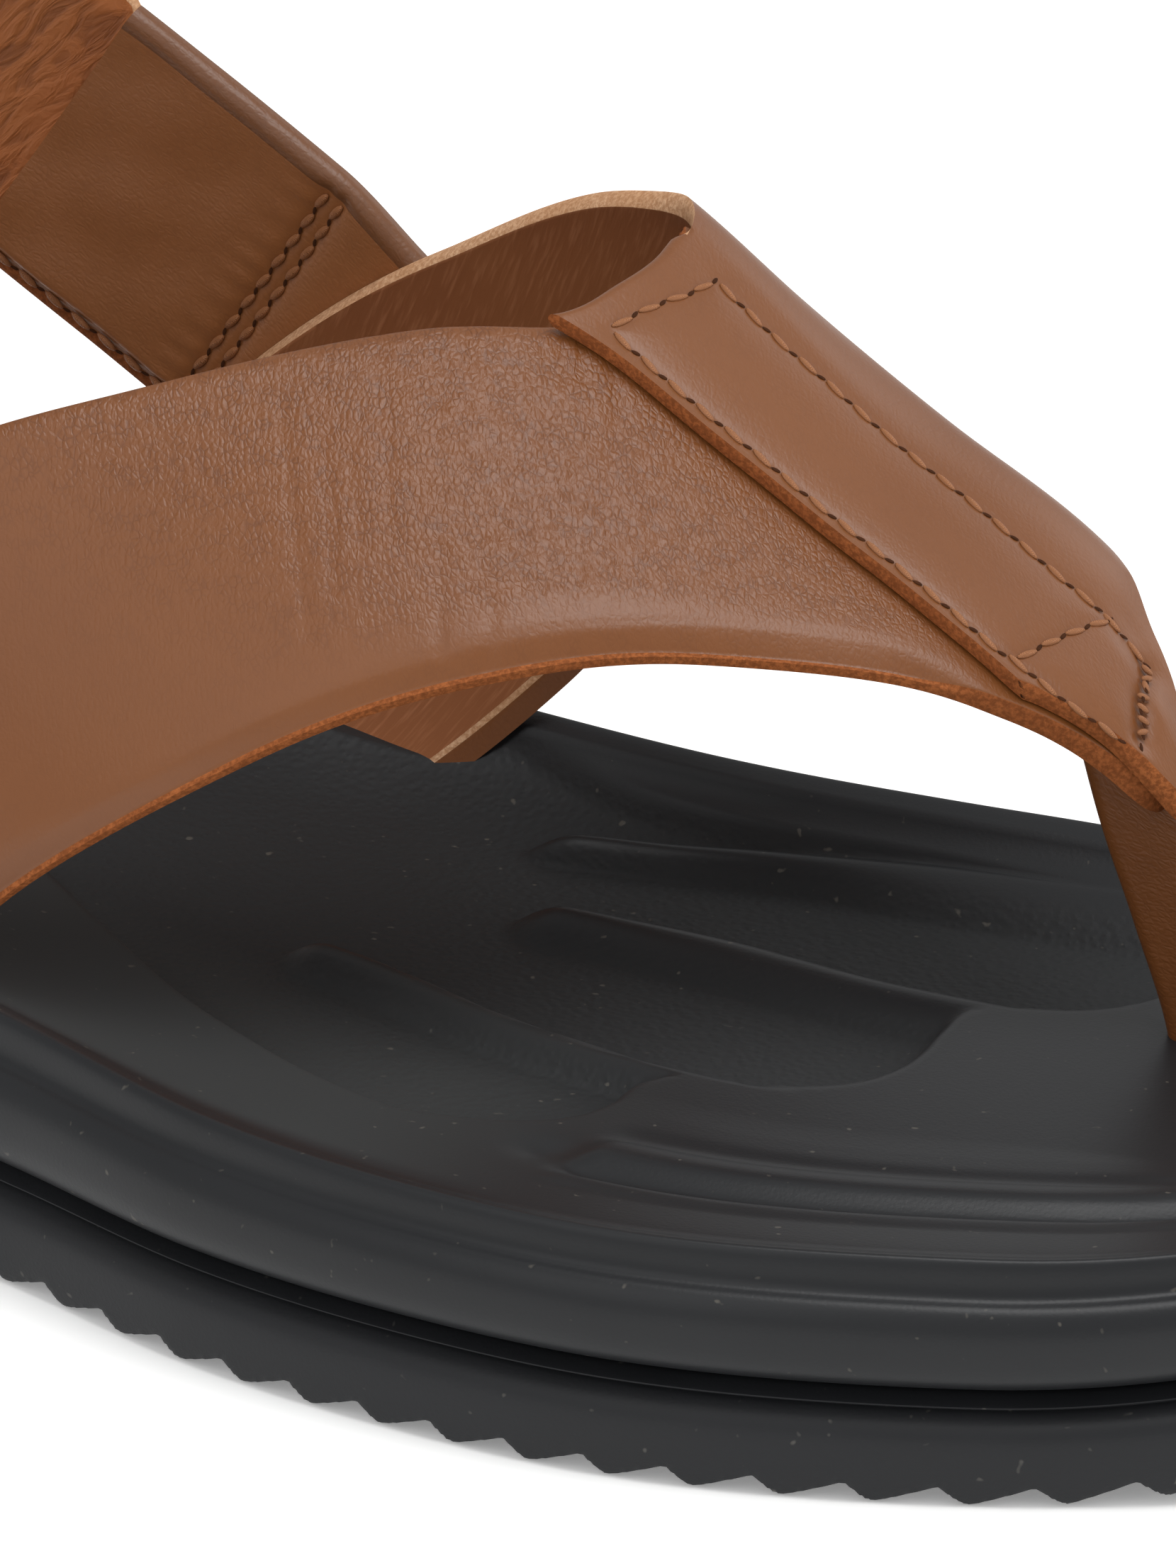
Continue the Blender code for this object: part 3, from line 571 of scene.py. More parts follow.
LAST = table(("station", "lateral", "medial", "top_y", "top_z", "lateral_full", "medial_full"), (
    (46.0, -31.0, 31.0, 0.0, 150.0, 2.2, 2.2),
    (84.0, -33.0, 34.5, 6.0, 118.0, 2.2, 2.3),
    (110.0, -35.0, 37.0, 14.0, 101.0, 2.1, 2.3),
    (140.0, -37.0, 38.0, 21.0, 86.0, 1.9, 2.3),
    (170.0, -38.0, 38.0, 25.0, 77.3, 1.75, 2.2),
    (196.0, -37.0, 38.0, 25.0, 61.5, 1.7, 2.1),
    (213.0, -34.0, 37.0, 24.5, 52.0, 1.65, 2.0),
    (221.0, -30.0, 36.0, 23.0, 45.0, 1.6, 2.0),
    (229.0, -26.0, 35.0, 22.0, 34.0, 1.6, 2.0),
))
STRAP_EDGES = table(("girth", "back", "front"), (
    (0.000, 92.0, 131.0),
    (0.085, 101.0, 142.5),
    (0.190, 116.0, 163.0),
    (0.275, 131.5, 179.0),
    (0.350, 147.6, 192.0),
    (0.420, 162.8, 206.0),
    (0.465, 172.0, 215.0),
    (0.500, 174.0, 221.0),
    (0.535, 174.5, 224.4),
    (0.570, 172.5, 224.0),
    (0.600, 166.5, 219.0),
    (0.625, 158.5, 211.0),
    (0.695, 141.0, 190.0),
    (0.785, 123.0, 168.0),
    (0.885, 107.0, 154.0),
    (0.935, 101.0, 147.4),
    (1.000, 94.0, 138.5),
))
# creases that wear has pressed in between the pebbles, each from point to point by station and girth
CREASE_DEPTH, CREASE_WIDTH = 0.1, 0.55
CREASES = (
    ((172.0, 0.462), (173.0, 0.449), (174.0, 0.437)),
    ((173.5, 0.460), (174.8, 0.452), (175.6, 0.444)),
    ((176.5, 0.461), (178.5, 0.447), (180.5, 0.418)),
    ((179.0, 0.447), (179.8, 0.437), (180.6, 0.427)),
    ((166.0, 0.430), (166.5, 0.422), (167.3, 0.412)),
    ((164.5, 0.420), (166.0, 0.405), (167.5, 0.389)),
    ((174.5, 0.419), (175.5, 0.404), (176.8, 0.388)),
    ((160.0, 0.349), (163.5, 0.317), (166.5, 0.281)),
    ((162.5, 0.347), (164.8, 0.328), (167.0, 0.307)),
    ((173.0, 0.325), (174.5, 0.303), (176.3, 0.278)),
    ((178.5, 0.314), (179.3, 0.300), (180.0, 0.286)),
    ((155.5, 0.357), (160.0, 0.315), (166.0, 0.257)),
    ((160.5, 0.405), (165.0, 0.360), (169.0, 0.316)),
)
WRINKLE_LEAN = 0.375


def last_sections():
    """Sections of the last over its stations, each at even shares of the girth, smoothed along the girth."""
    angle = np.linspace(0, np.pi, LAST_ANGLES)
    lateral = angle < np.pi / 2
    sections = []
    for station in np.arange(LAST_FROM, LAST_TO + 1, LAST_PITCH):
        full = np.where(lateral, LAST["lateral_full"](station), LAST["medial_full"](station))
        across, up = np.abs(np.cos(angle)) ** (2 / full), np.abs(np.sin(angle)) ** (2 / full)
        base, top_y = level("floor", station) - SLOT_DEPTH, LAST["top_y"](station)
        side = np.where(lateral, LAST["lateral"](station), LAST["medial"](station))
        rise = up * (LAST["top_z"](station) - base)
        tuck = np.where(lateral, LATERAL_TUCK, -MEDIAL_TUCK) * np.clip(1 - rise / TUCK_HEIGHT, 0, 1) ** 2
        section = np.column_stack((top_y + across * (side - top_y) + tuck, base + rise))
        run = np.concatenate(([0.0], np.cumsum(np.linalg.norm(np.diff(section, axis=0), axis=1))))
        girths = np.linspace(0, run[-1], LAST_GIRTHS)
        even = np.column_stack([np.interp(girths, run, section[:, i]) for i in (0, 1)])
        for _ in range(LAST_SMOOTHED):
            even[1:-1] = (even[:-2] + 2 * even[1:-1] + even[2:]) / 4
        sections.append(even)
    return np.array(sections)


SECTIONS = last_sections()


def spline_weights(t):
    """Weights of the four rows next to a place between two rows, for a smooth curve through them."""
    return (-t / 2 + t**2 - t**3 / 2, 1 - 2.5 * t**2 + 1.5 * t**3,
            t / 2 + 2 * t**2 - 1.5 * t**3, (t**3 - t**2) / 2)


def on_last(station, girth):
    """Points of the last at stations and shares of the girth."""
    station, girth = np.broadcast_arrays(np.asarray(station, float), np.asarray(girth, float))
    s = np.clip((station - LAST_FROM) / LAST_PITCH, 1, SECTIONS.shape[0] - 2.001)
    g = np.clip(girth * (LAST_GIRTHS - 1), 0, LAST_GIRTHS - 1)
    i, j = s.astype(int), np.minimum(g.astype(int), LAST_GIRTHS - 2)
    points = 0.0
    for a, wa in enumerate(spline_weights(s - i)):
        for b, wb in enumerate(spline_weights(g - j)):
            near = SECTIONS[i + a - 1, np.clip(j + b - 1, 0, LAST_GIRTHS - 1)]
            points = points + (wa * wb)[..., None] * near
    return np.concatenate((station[..., None], points), axis=-1)


def off_last(station, girth):
    """Outward directions of the last."""
    ahead = on_last(station + STATION_STEP, girth) - on_last(station - STATION_STEP, girth)
    above, below = np.minimum(girth + GIRTH_STEP, 1), np.maximum(girth - GIRTH_STEP, 0)
    over = on_last(station, above) - on_last(station, below)
    out = np.cross(ahead, over)
    return out / np.linalg.norm(out, axis=-1, keepdims=True)


def edged(count):
    """Steps across a band of leather, crowded round its edges: share of the way and share of the thickness."""
    thin = np.sin(np.linspace(0, np.pi / 2, EDGE_STEPS + 1))[:-1]
    share = np.concatenate((np.zeros(EDGE_STEPS), np.linspace(0, 1, count), np.ones(EDGE_STEPS)))
    return share, np.concatenate((thin, np.ones(count), thin[::-1]))


def leather_grid(rows, columns):
    """Shares down and along a sheet of leather, and its share of thickness, which runs out at the border."""
    (share, thick), (way, end_thick) = edged(rows), edged(columns)
    return share[:, None], way[None, :], thick[:, None] * end_thick[None, :]


def nearest_of(station, girth_run, *points):
    """Distance of places on the unrolled last from a line through points."""
    nearest = np.full(np.shape(station), 1e3)
    spots = [(at, girth * GIRTH_LENGTH) for at, girth in points]
    for (x0, y0), (x1, y1) in zip(spots, spots[1:]):
        along = (station - x0) * (x1 - x0) + (girth_run - y0) * (y1 - y0)
        run = np.clip(along / np.hypot(x1 - x0, y1 - y0) ** 2, 0, 1)
        nearest = np.minimum(nearest, np.hypot(station - x0 - run * (x1 - x0), girth_run - y0 - run * (y1 - y0)))
    return nearest


def grain_map(station, girth):
    """UV map of leather in metres, turned so that V runs along the wrinkles."""
    up = np.sqrt(1 - WRINKLE_LEAN**2)
    run = girth * GIRTH_LENGTH
    return np.stack((up * station + WRINKLE_LEAN * run, up * run - WRINKLE_LEAN * station), axis=-1) * MILLIMETRE


def millimetre_map(points):
    """UV map of a laid sheet in metres: U across its rows and V along its columns."""
    along = np.linalg.norm(np.diff(points, axis=1), axis=2).mean(axis=0)
    across = np.linalg.norm(np.diff(points, axis=0), axis=2)
    v = np.broadcast_to(np.concatenate(([0.0], np.cumsum(along))), points.shape[:2])
    u = np.concatenate((np.zeros((1, points.shape[1])), np.cumsum(across, axis=0)))
    return np.stack((u, v), axis=-1) * MILLIMETRE


def leather_body(name, outer, inner, cut, creasing, finishes, uv, inner_cut=None):
    """A leather piece from its grain and flesh faces, which meet at its border; cut numbers the edge's finish."""
    cut = np.asarray(cut, int)
    creasing = np.broadcast_to(creasing, cut.shape)
    inner_cut = cut if inner_cut is None else np.asarray(inner_cut, int)
    grain = lay_grid(name, outer, uv, cut, creasing=creasing)
    back = lay_grid(name + "_back", inner[::-1], uv[::-1], np.where(inner_cut, inner_cut, 1)[::-1],
                    creasing=creasing[::-1])
    for sheet in (grain, back):
        for finish in finishes:
            sheet.data.materials.append(finish)
    grain.select_set(True)
    bpy.context.view_layer.objects.active = grain
    bpy.ops.object.join()
    return close_up(grain, LEATHER_SHARP)


def grain_leather(name, dark, light, crack_shade):
    """Full-grain leather, dyed through and waxed: fine pebbles under a soft sheen, broken by upright cracks
    tinted darker as painted shade.
    """
    material, tree, shader = new_material(name, {"Roughness": 0.4, "IOR": 1.46, "Specular IOR Level": 0.5})
    uv = add_node(tree, "ShaderNodeTexCoord").outputs["UV"]
    creased = add_node(tree, "ShaderNodeAttribute", {"attribute_name": "creasing"}).outputs["Fac"]
    # pebbles 0.5 mm wide and 0.8 mm long, dashes 0.4 mm wide and 1.8 mm long, both bent every 1.4 mm,
    # pores 0.4 mm, cracks in patches of 2 mm, tint drifting over 30 mm
    drift = add_node(tree, "ShaderNodeTexNoise", {"Scale": 33.0, "Detail": 3.0}, {"Vector": uv})
    warp = add_node(tree, "ShaderNodeTexNoise", {"Scale": 700.0, "Detail": 2.0}, {"Vector": uv})
    bent = add_node(tree, "ShaderNodeVectorMath", {"operation": "MULTIPLY_ADD", 1: (0.0005, 0.0005, 0.0)},
                    {0: warp.outputs["Color"], 2: uv})
    pebble_space = add_node(tree, "ShaderNodeMapping", {"Scale": (1950.0, 1250.0, 1.0)},
                            {"Vector": bent.outputs[0]})
    dash_space = add_node(tree, "ShaderNodeMapping", {"Scale": (2300.0, 560.0, 1.0)},
                          {"Vector": bent.outputs[0]})
    pebbles = add_node(tree, "ShaderNodeTexVoronoi", {"feature": "DISTANCE_TO_EDGE", "Scale": 1.0},
                       {"Vector": pebble_space.outputs[0]})
    dashes = add_node(tree, "ShaderNodeTexNoise", {"Scale": 1.0, "Detail": 2.0},
                      {"Vector": dash_space.outputs[0]})
    pores = add_node(tree, "ShaderNodeTexNoise", {"Scale": 2400.0, "Detail": 2.0}, {"Vector": uv})
    patches = add_node(tree, "ShaderNodeTexNoise", {"Scale": 480.0, "Detail": 2.0}, {"Vector": uv})
    tint = add_node(tree, "ShaderNodeMix", {"data_type": "RGBA", 6: hex_colour(dark), 7: hex_colour(light)},
                    {0: drift.outputs["Fac"]})
    domes = add_node(tree, "ShaderNodeMapRange", {"From Max": 0.3}, {"Value": pebbles.outputs["Distance"]})
    thin = add_node(tree, "ShaderNodeMapRange", {"From Min": 0.15, "From Max": 0.02, "To Max": 0.42},
                    {"Value": pebbles.outputs["Distance"]})
    patchy = add_node(tree, "ShaderNodeMapRange", {"From Min": 0.42, "From Max": 0.58},
                      {"Value": patches.outputs["Fac"]})
    open_cracks = add_node(tree, "ShaderNodeMath", {"operation": "MULTIPLY"},
                           {0: thin.outputs["Result"], 1: patchy.outputs["Result"]})
    cracks = add_node(tree, "ShaderNodeMath", {"operation": "MULTIPLY"}, {0: open_cracks.outputs[0], 1: creased})
    # the cracks take the darker tint: painted shade in them
    toned = add_node(tree, "ShaderNodeMix", {"data_type": "RGBA", 7: hex_colour(crack_shade)},
                     {0: cracks.outputs[0], 6: tint.outputs[2]})
    fine = add_node(tree, "ShaderNodeBump", {"Strength": 0.35, "Distance": 0.00005},
                    {"Height": pores.outputs["Fac"]})
    broken = add_node(tree, "ShaderNodeBump", {"Distance": 0.0001},
                      {"Height": dashes.outputs["Fac"], "Strength": creased, "Normal": fine.outputs["Normal"]})
    relief = add_node(tree, "ShaderNodeBump", {"Distance": 0.00004},
                      {"Height": domes.outputs["Result"], "Strength": creased,
                       "Normal": broken.outputs["Normal"]})
    tree.links.new(toned.outputs[2], shader.inputs["Base Color"])
    tree.links.new(relief.outputs["Normal"], shader.inputs["Normal"])
    return material


# The outside of the straps: mid brown.
leather = grain_leather("brown_full_grain_leather", "#6c3d19", "#7b4922", "#4e270d")

# The flesh side is buffed smooth: dull brown, with faint slanting hairlines; its tints are lighter partly as
# painted fill light for the shade under the medial strap.
flesh, tree, shader = new_material("leather_flesh_side", {"Roughness": 0.72, "IOR": 1.45})
uv = add_node(tree, "ShaderNodeTexCoord").outputs["UV"]
# hairlines 0.4 mm wide and 5 mm long, tint drifting over 20 mm
turned = add_node(tree, "ShaderNodeMapping", {"Rotation": (0.0, 0.0, 0.9), "Scale": (2400.0, 200.0, 1.0)},
                  {"Vector": uv})
streaks = add_node(tree, "ShaderNodeTexNoise", {"Scale": 1.0, "Detail": 3.0}, {"Vector": turned.outputs[0]})
drift = add_node(tree, "ShaderNodeTexNoise", {"Scale": 50.0, "Detail": 3.0}, {"Vector": uv})
tint = add_node(tree, "ShaderNodeMix", {"data_type": "RGBA", 6: hex_colour("#7d4520"), 7: hex_colour("#8f562c")},
                {0: drift.outputs["Fac"]})
streaked = add_node(tree, "ShaderNodeMapRange", {"From Min": 0.5, "From Max": 0.72, "To Max": 0.55},
                    {"Value": streaks.outputs["Fac"]})
tint = add_node(tree, "ShaderNodeMix", {"data_type": "RGBA", 7: hex_colour("#a76c46")},
                {0: streaked.outputs["Result"], 6: tint.outputs[2]})
relief = add_node(tree, "ShaderNodeBump", {"Strength": 0.5, "Distance": 0.00012},
                  {"Height": streaks.outputs["Fac"]})
tree.links.new(tint.outputs[2], shader.inputs["Base Color"])
tree.links.new(relief.outputs["Normal"], shader.inputs["Normal"])


def raw_edge(name, dark, light, tuft):
    """A cut edge of leather: dull fibres between a dark and a light tint, with tufts where dye ran in."""
    material, tree, shader = new_material(name, {"Roughness": 0.85, "IOR": 1.45, "Specular IOR Level": 0.2})
    place = add_node(tree, "ShaderNodeTexCoord").outputs["Object"]
    # fibre tufts 0.4 mm across, dye stains 6 mm across
    fibres = add_node(tree, "ShaderNodeTexNoise", {"Scale": 2400.0, "Detail": 4.0, "Roughness": 0.65},
                      {"Vector": place})
    stains = add_node(tree, "ShaderNodeTexNoise", {"Scale": 160.0, "Detail": 3.0}, {"Vector": place})
    tint = add_node(tree, "ShaderNodeMix", {"data_type": "RGBA", 6: hex_colour(dark), 7: hex_colour(light)},
                    {0: stains.outputs["Fac"]})
    tufts = add_node(tree, "ShaderNodeMapRange", {"From Min": 0.62, "From Max": 0.42, "To Max": 0.75},
                     {"Value": fibres.outputs["Fac"]})
    tufted = add_node(tree, "ShaderNodeMix", {"data_type": "RGBA", 7: hex_colour(tuft)},
                      {0: tufts.outputs["Result"], 6: tint.outputs[2]})
    relief = add_node(tree, "ShaderNodeBump", {"Strength": 0.7, "Distance": 0.00015},
                      {"Height": fibres.outputs["Fac"]})
    tree.links.new(tufted.outputs[2], shader.inputs["Base Color"])
    tree.links.new(relief.outputs["Normal"], shader.inputs["Normal"])
    return material


# The dye has soaked into most cut edges: orange tan fibres, darker in tufts.
cut_edge = raw_edge("raw_cut_leather_edge", "#8b4c26", "#b0693a", "#6f3c1c")

lateral_share, lateral_way, lateral_thick = leather_grid(LATERAL_ROWS, LATERAL_COLUMNS)
lateral_girth = LATERAL_END * lateral_way + 0.0 * lateral_share
lateral_back, lateral_front = STRAP_EDGES["back"](lateral_girth), STRAP_EDGES["front"](lateral_girth)
from_front = lateral_share * (lateral_front - lateral_back) * LATERAL_SKEW
from_back = (1 - lateral_share) * (lateral_front - lateral_back) * LATERAL_SKEW
press_line = PRESS_LINE + PRESS_FURTHER * soft_step((lateral_girth - FURTHER_FROM) / FURTHER_OVER)
pressed = -EDGE_ROLL * np.clip(1 - from_front / press_line, 0, 1) ** ROLL_CURVE
pressed = pressed - PRESS_GROOVE * np.exp(-((from_front - press_line) / GROOVE_WIDE) ** 2)
pressed = pressed * (1 - soft_step((lateral_girth - PRESS_TO) / PRESS_FADE))
pressed = pressed - BACK_ROLL * np.clip(1 - from_back / BACK_ROLL_WIDE, 0, 1) ** 2
lateral_sheets = []
for side in (1, -1):
    rim = CUT_BULGE * (1 - lateral_thick**2)
    front = lateral_front - FRONT_SLANT * side * lateral_thick + rim
    station = front - lateral_share * (front - lateral_back + rim)
    if side > 0:
        for crease in CREASES:
            nearest = nearest_of(station, lateral_girth * GIRTH_LENGTH, *crease)
            pressed = pressed - CREASE_DEPTH * np.exp(-(nearest / CREASE_WIDTH) ** 2)
    lift = LEATHER / 2 * (1 + side * lateral_thick) + (pressed * lateral_thick if side > 0 else 0.0)
    lateral_sheets.append(on_last(station, lateral_girth) + lift[..., None] * off_last(station, lateral_girth))
creasing = soft_step((lateral_girth - BREAK_FROM) / BREAK_OVER)
creasing = creasing * (1 - CALM * soft_step((lateral_girth - CALM_FROM) / CALM_OVER))
off_edge = EDGE_GRAIN + (1 - EDGE_GRAIN) * soft_step((from_front - EDGE_GRAIN_TO) / EDGE_GRAIN_OVER)
creasing = PLAIN_GRAIN + (1 - PLAIN_GRAIN) * creasing * off_edge
lateral_strap = leather_body("lateral_strap", *lateral_sheets, 2 * (lateral_thick < FULL_THICK), creasing,
                             (leather, flesh, cut_edge), grain_map(station, lateral_girth))
fit_piece(lateral_strap, "upper")

# Medial strap: a second band that runs up the medial side, lies over the lateral strap as a panel and is
# sewn down to it in a long box of stitches. Its rear edge over the lateral strap is turned under; its
# other edges are cut raw, the rear one of the medial side thinned to a pale slant on the inside.
MEDIAL_ROWS, MEDIAL_COLUMNS, MEDIAL_SKEW, MEDIAL_GRAIN = 131, 301, 0.8, 0.2
PANEL_GAP = 0.2
DIP, DIP_STATION, DIP_REACH = 1.3, 179.0, 15.0
DIP_FROM, DIP_OVER, DIP_BACK, DIP_OUT = 0.555, 0.04, 0.66, 0.1
TIP_DIP, TIP_STATION, TIP_OVER = 0.9, 213.0, 5.0
TIP_LAP, TIP_LAP_FROM, TIP_LAP_OVER, TIP_LAP_TO, TIP_LAP_FADE = 1.5, 0.465, 0.02, 0.56, 0.03
FOLD_TO, FOLD_FADE, REAR_SKIVE = 0.55, 0.012, 0.7
FRONT_BEVEL, BEVEL_WIDE, BEVEL_LINE, BEVEL_FROM, BEVEL_OVER = 0.8, 1.7, 0.4, 0.8, 0.05
BEVEL_SHOWN, SEAM_CURVE = 0.3, 4
SEWN_DENTS, TACK_DENT, TACK_DENT_WIDE, DENT_BATCHES = ((0.16, 1.9), (0.12, 0.55)), 0.45, 1.2, 40
SEAM_LINE = table(("station", "girth"), (
    (171.5, 0.4575),
    (176.0, 0.4615),
    (184.0, 0.4650),
    (192.5, 0.4705),
    (201.0, 0.4720),
    (209.5, 0.4700),
    (216.0, 0.4735),
    (220.5, 0.4830),
))
SEWN_LINES = {
    "seam_side": ((175.0, 0.470), (180.0, 0.470), (184.5, 0.472), (191.5, 0.4765), (200.5, 0.479), (210.0, 0.477),
                  (213.0, 0.481), (217.5, 0.489), (221.0, 0.506)),
    "fold_side": ((175.0, 0.470), (175.7, 0.487), (176.6, 0.505), (177.5, 0.5225), (178.0, 0.540)),
    "far_side": ((178.0, 0.540), (184.0, 0.5425), (190.0, 0.549), (200.5, 0.557), (210.0, 0.561), (215.5, 0.574),
                 (219.0, 0.581)),
    "toe_side": ((213.0, 0.4815), (214.0, 0.520), (215.5, 0.574)),
    "tip_tack": ((219.0, 0.581), (219.6, 0.568), (220.2, 0.551), (221.0, 0.539), (221.6, 0.5275)),
}
STITCH_PITCH, DENT_PITCH, LINE_STEPS = 3.0, 0.5, 400


def dip(station, girth):
    """Drop of the medial strap where no lateral strap is under it."""
    sag = DIP * np.exp(-((station - DIP_STATION) / DIP_REACH) ** 2)
    sag = sag + TIP_DIP * soft_step((station - TIP_STATION) / TIP_OVER)
    return sag * soft_step((girth - DIP_FROM) / DIP_OVER) * (1 - soft_step((girth - DIP_BACK) / DIP_OUT))


def at_pitch(points, out, pitch):
    """Places at an even pitch along a run of points, with directions along and out of the leather."""
    run = np.concatenate(([0.0], np.cumsum(np.linalg.norm(np.diff(points, axis=0), axis=1))))
    count = max(int(round(run[-1] / pitch)), 1)
    middles = (np.arange(count) + 0.5) * run[-1] / count
    return [np.column_stack([np.interp(middles, run, values[:, i]) for i in range(3)])
            for values in (points, np.gradient(points, axis=0), out)]


def along_line(line, pitch, lift):
    """Places and directions at an even pitch along a sewn line of the medial strap."""
    rows = np.array(line)
    turns = np.linspace(0, len(rows) - 1, LINE_STEPS)
    station, girth = (smooth_through(np.arange(len(rows)), rows[:, i], turns) for i in (0, 1))
    out = off_last(station, girth)
    return at_pitch(on_last(station, girth) + (lift - dip(station, girth))[:, None] * out, out, pitch)


medial_share, medial_way, medial_thick = leather_grid(MEDIAL_ROWS, MEDIAL_COLUMNS)
medial_girth = SEAM + (1 - SEAM) * medial_way + 0.0 * medial_share
medial_back, medial_front = STRAP_EDGES["back"](medial_girth), STRAP_EDGES["front"](medial_girth)
tip_lap = TIP_LAP * soft_step((medial_girth - TIP_LAP_FROM) / TIP_LAP_OVER)
medial_front = medial_front + tip_lap * (1 - soft_step((medial_girth - TIP_LAP_TO) / TIP_LAP_FADE))
folded = soft_step((FOLD_TO - medial_girth) / FOLD_FADE + 0.5)
top_lift = 2 * LEATHER + PANEL_GAP
sewn = [along_line(line, DENT_PITCH, top_lift)[0] for line in SEWN_LINES.values()]
tacked, sewn = sewn[-1], np.concatenate(sewn)
medial_sheets = []
for side in (1, -1):
    rim = CUT_BULGE * (1 - medial_thick**2)
    girth = medial_girth - np.where(medial_way < 0.5, 1, -1) * rim / GIRTH_LENGTH
    front = medial_front - FRONT_SLANT * side * medial_thick + rim
    round_back = folded * LEATHER / 2 * np.sqrt(1 - medial_thick**2) + (1 - folded) * rim
    skive = (1 - folded) * REAR_SKIVE * (1 - side * medial_thick) / 2
    station = front - medial_share * (front - medial_back + round_back - skive)
    girth = girth + (SEAM_LINE["girth"](station) - SEAM) * (1 - medial_way) ** SEAM_CURVE
    out = off_last(station, girth)
    lift = top_lift - LEATHER / 2 * (1 - side * medial_thick) - dip(station, girth)
    if side < 0:
        in_front = medial_share * (medial_front - medial_back) * MEDIAL_SKEW
        low_end = soft_step((girth - BEVEL_FROM) / BEVEL_OVER)
        lift = lift + FRONT_BEVEL * low_end * np.clip(1 - in_front / BEVEL_WIDE, 0, 1) * medial_thick
    sheet = on_last(station, girth) + lift[..., None] * out
    if side > 0:
        flat = sheet.reshape(-1, 3)
        gap = np.concatenate([np.linalg.norm(part[:, None] - sewn[None], axis=2).min(axis=1)
                              for part in np.array_split(flat, DENT_BATCHES)])
        dent = sum(depth * np.exp(-(gap / wide) ** 2) for depth, wide in SEWN_DENTS)
        drawn = np.linalg.norm(flat[:, None] - tacked[None], axis=2).min(axis=1)
        dent = dent + TACK_DENT * np.exp(-(drawn / TACK_DENT_WIDE) ** 2)
        sheet = sheet - (dent.reshape(medial_thick.shape) * medial_thick)[..., None] * out
    medial_sheets.append(sheet)
# The thinned rear edge shows undyed pale fibres.
pale_edge = raw_edge("undyed_cut_leather_edge", "#b98a62", "#dab492", "#a3744f")
rear = (medial_share > 0.5) & (edged(MEDIAL_COLUMNS)[1][None, :] > FULL_THICK)
medial_cut = np.where(rear, np.where(folded > 0.5, 0, 3), 2) * (medial_thick < FULL_THICK)
bevel = np.where(in_front < BEVEL_WIDE, 4, 3 * (in_front < BEVEL_WIDE + BEVEL_LINE))
medial_strap = leather_body("medial_strap", *medial_sheets, medial_cut, MEDIAL_GRAIN,
                            (leather, flesh, cut_edge, pale_edge, leather), grain_map(station, girth),
                            np.where(low_end > BEVEL_SHOWN, bevel, medial_cut))
fit_piece(medial_strap, "upper")

# Toe post: a strip of the same leather folded double, sewn under the tip of the straps and let into a slot
# of the footbed between the first two toes. Bending has laid fine wrinkles across it.
POST_THICK, POST_ROWS, POST_COLUMNS, POST_GRAIN = 3.6, 31, 81, 0.4
POST_STATION, POST_GIRTH = 219.25, 0.555
POST = table(("share", "back", "back_z", "front", "front_z"), (
    (0.00, 226.0, 12.0, 238.5, 12.0),
    (0.18, 225.5, 17.5, 238.0, 17.5),
    (0.50, 221.9, 27.5, 234.0, 28.0),
    (0.80, 218.1, 37.0, 229.6, 36.0),
    (1.00, 215.1, 46.5, 224.6, 41.5),
))


def border(share):
    """1 along the first border of a sheet, -1 along its last and 0 between."""
    return (share == 0).astype(float) - (share == 1)


post_across, post_thick = edged(POST_ROWS)
post_up = np.linspace(0, 1, POST_COLUMNS)[None, :]
post_thick = post_thick[:, None] * np.where((post_up == 0) | (post_up == 1), 0.0, 1.0)
post_across = post_across[:, None] + 0.0 * post_up
post_y = float(on_last(POST_STATION, POST_GIRTH)[1])
round_out = POST_THICK / 2 * np.sqrt(1 - post_thick**2) * border(post_across)
back, front = POST["back"](post_up) + POST_THICK / 2, POST["front"](post_up) - POST_THICK / 2
station = front - post_across * (front - back) + round_out
height = POST["front_z"](post_up) - post_across * (POST["front_z"](post_up) - POST["back_z"](post_up))
post_sheets = [np.stack((station, post_y - side * post_thick * POST_THICK / 2, height), axis=-1)
               for side in (1, -1)]
toe_post = leather_body("toe_post", *post_sheets, 0 * post_thick, POST_GRAIN, (leather, leather),
                        millimetre_map(post_sheets[0])[..., ::-1])
fit_piece(toe_post, "upper")

# Strap stitches: waxed thread about the colour of the leather, one lockstitch every 3 mm, each drawn down
# a little aslant between needle holes, drawn as short dark slits of painted shade.
THREAD_LONG, THREAD_WIDE, THREAD_HIGH = 2.3, 0.6, 0.46
SLIT_LONG, SLIT_WIDE, SLIT_HIGH = 0.85, 0.36, 0.1
THREAD_TURN, SLIT_TURN, THREAD_SUNK = -8.0, 16.0, 0.2
STITCH_SEGMENTS, STITCH_RINGS = 10, 6
TACK_TURNS, TACK_PITCH, TACK_LONG = (70.0, -55.0, 40.0, -80.0, 62.0), 1.1, 1.3


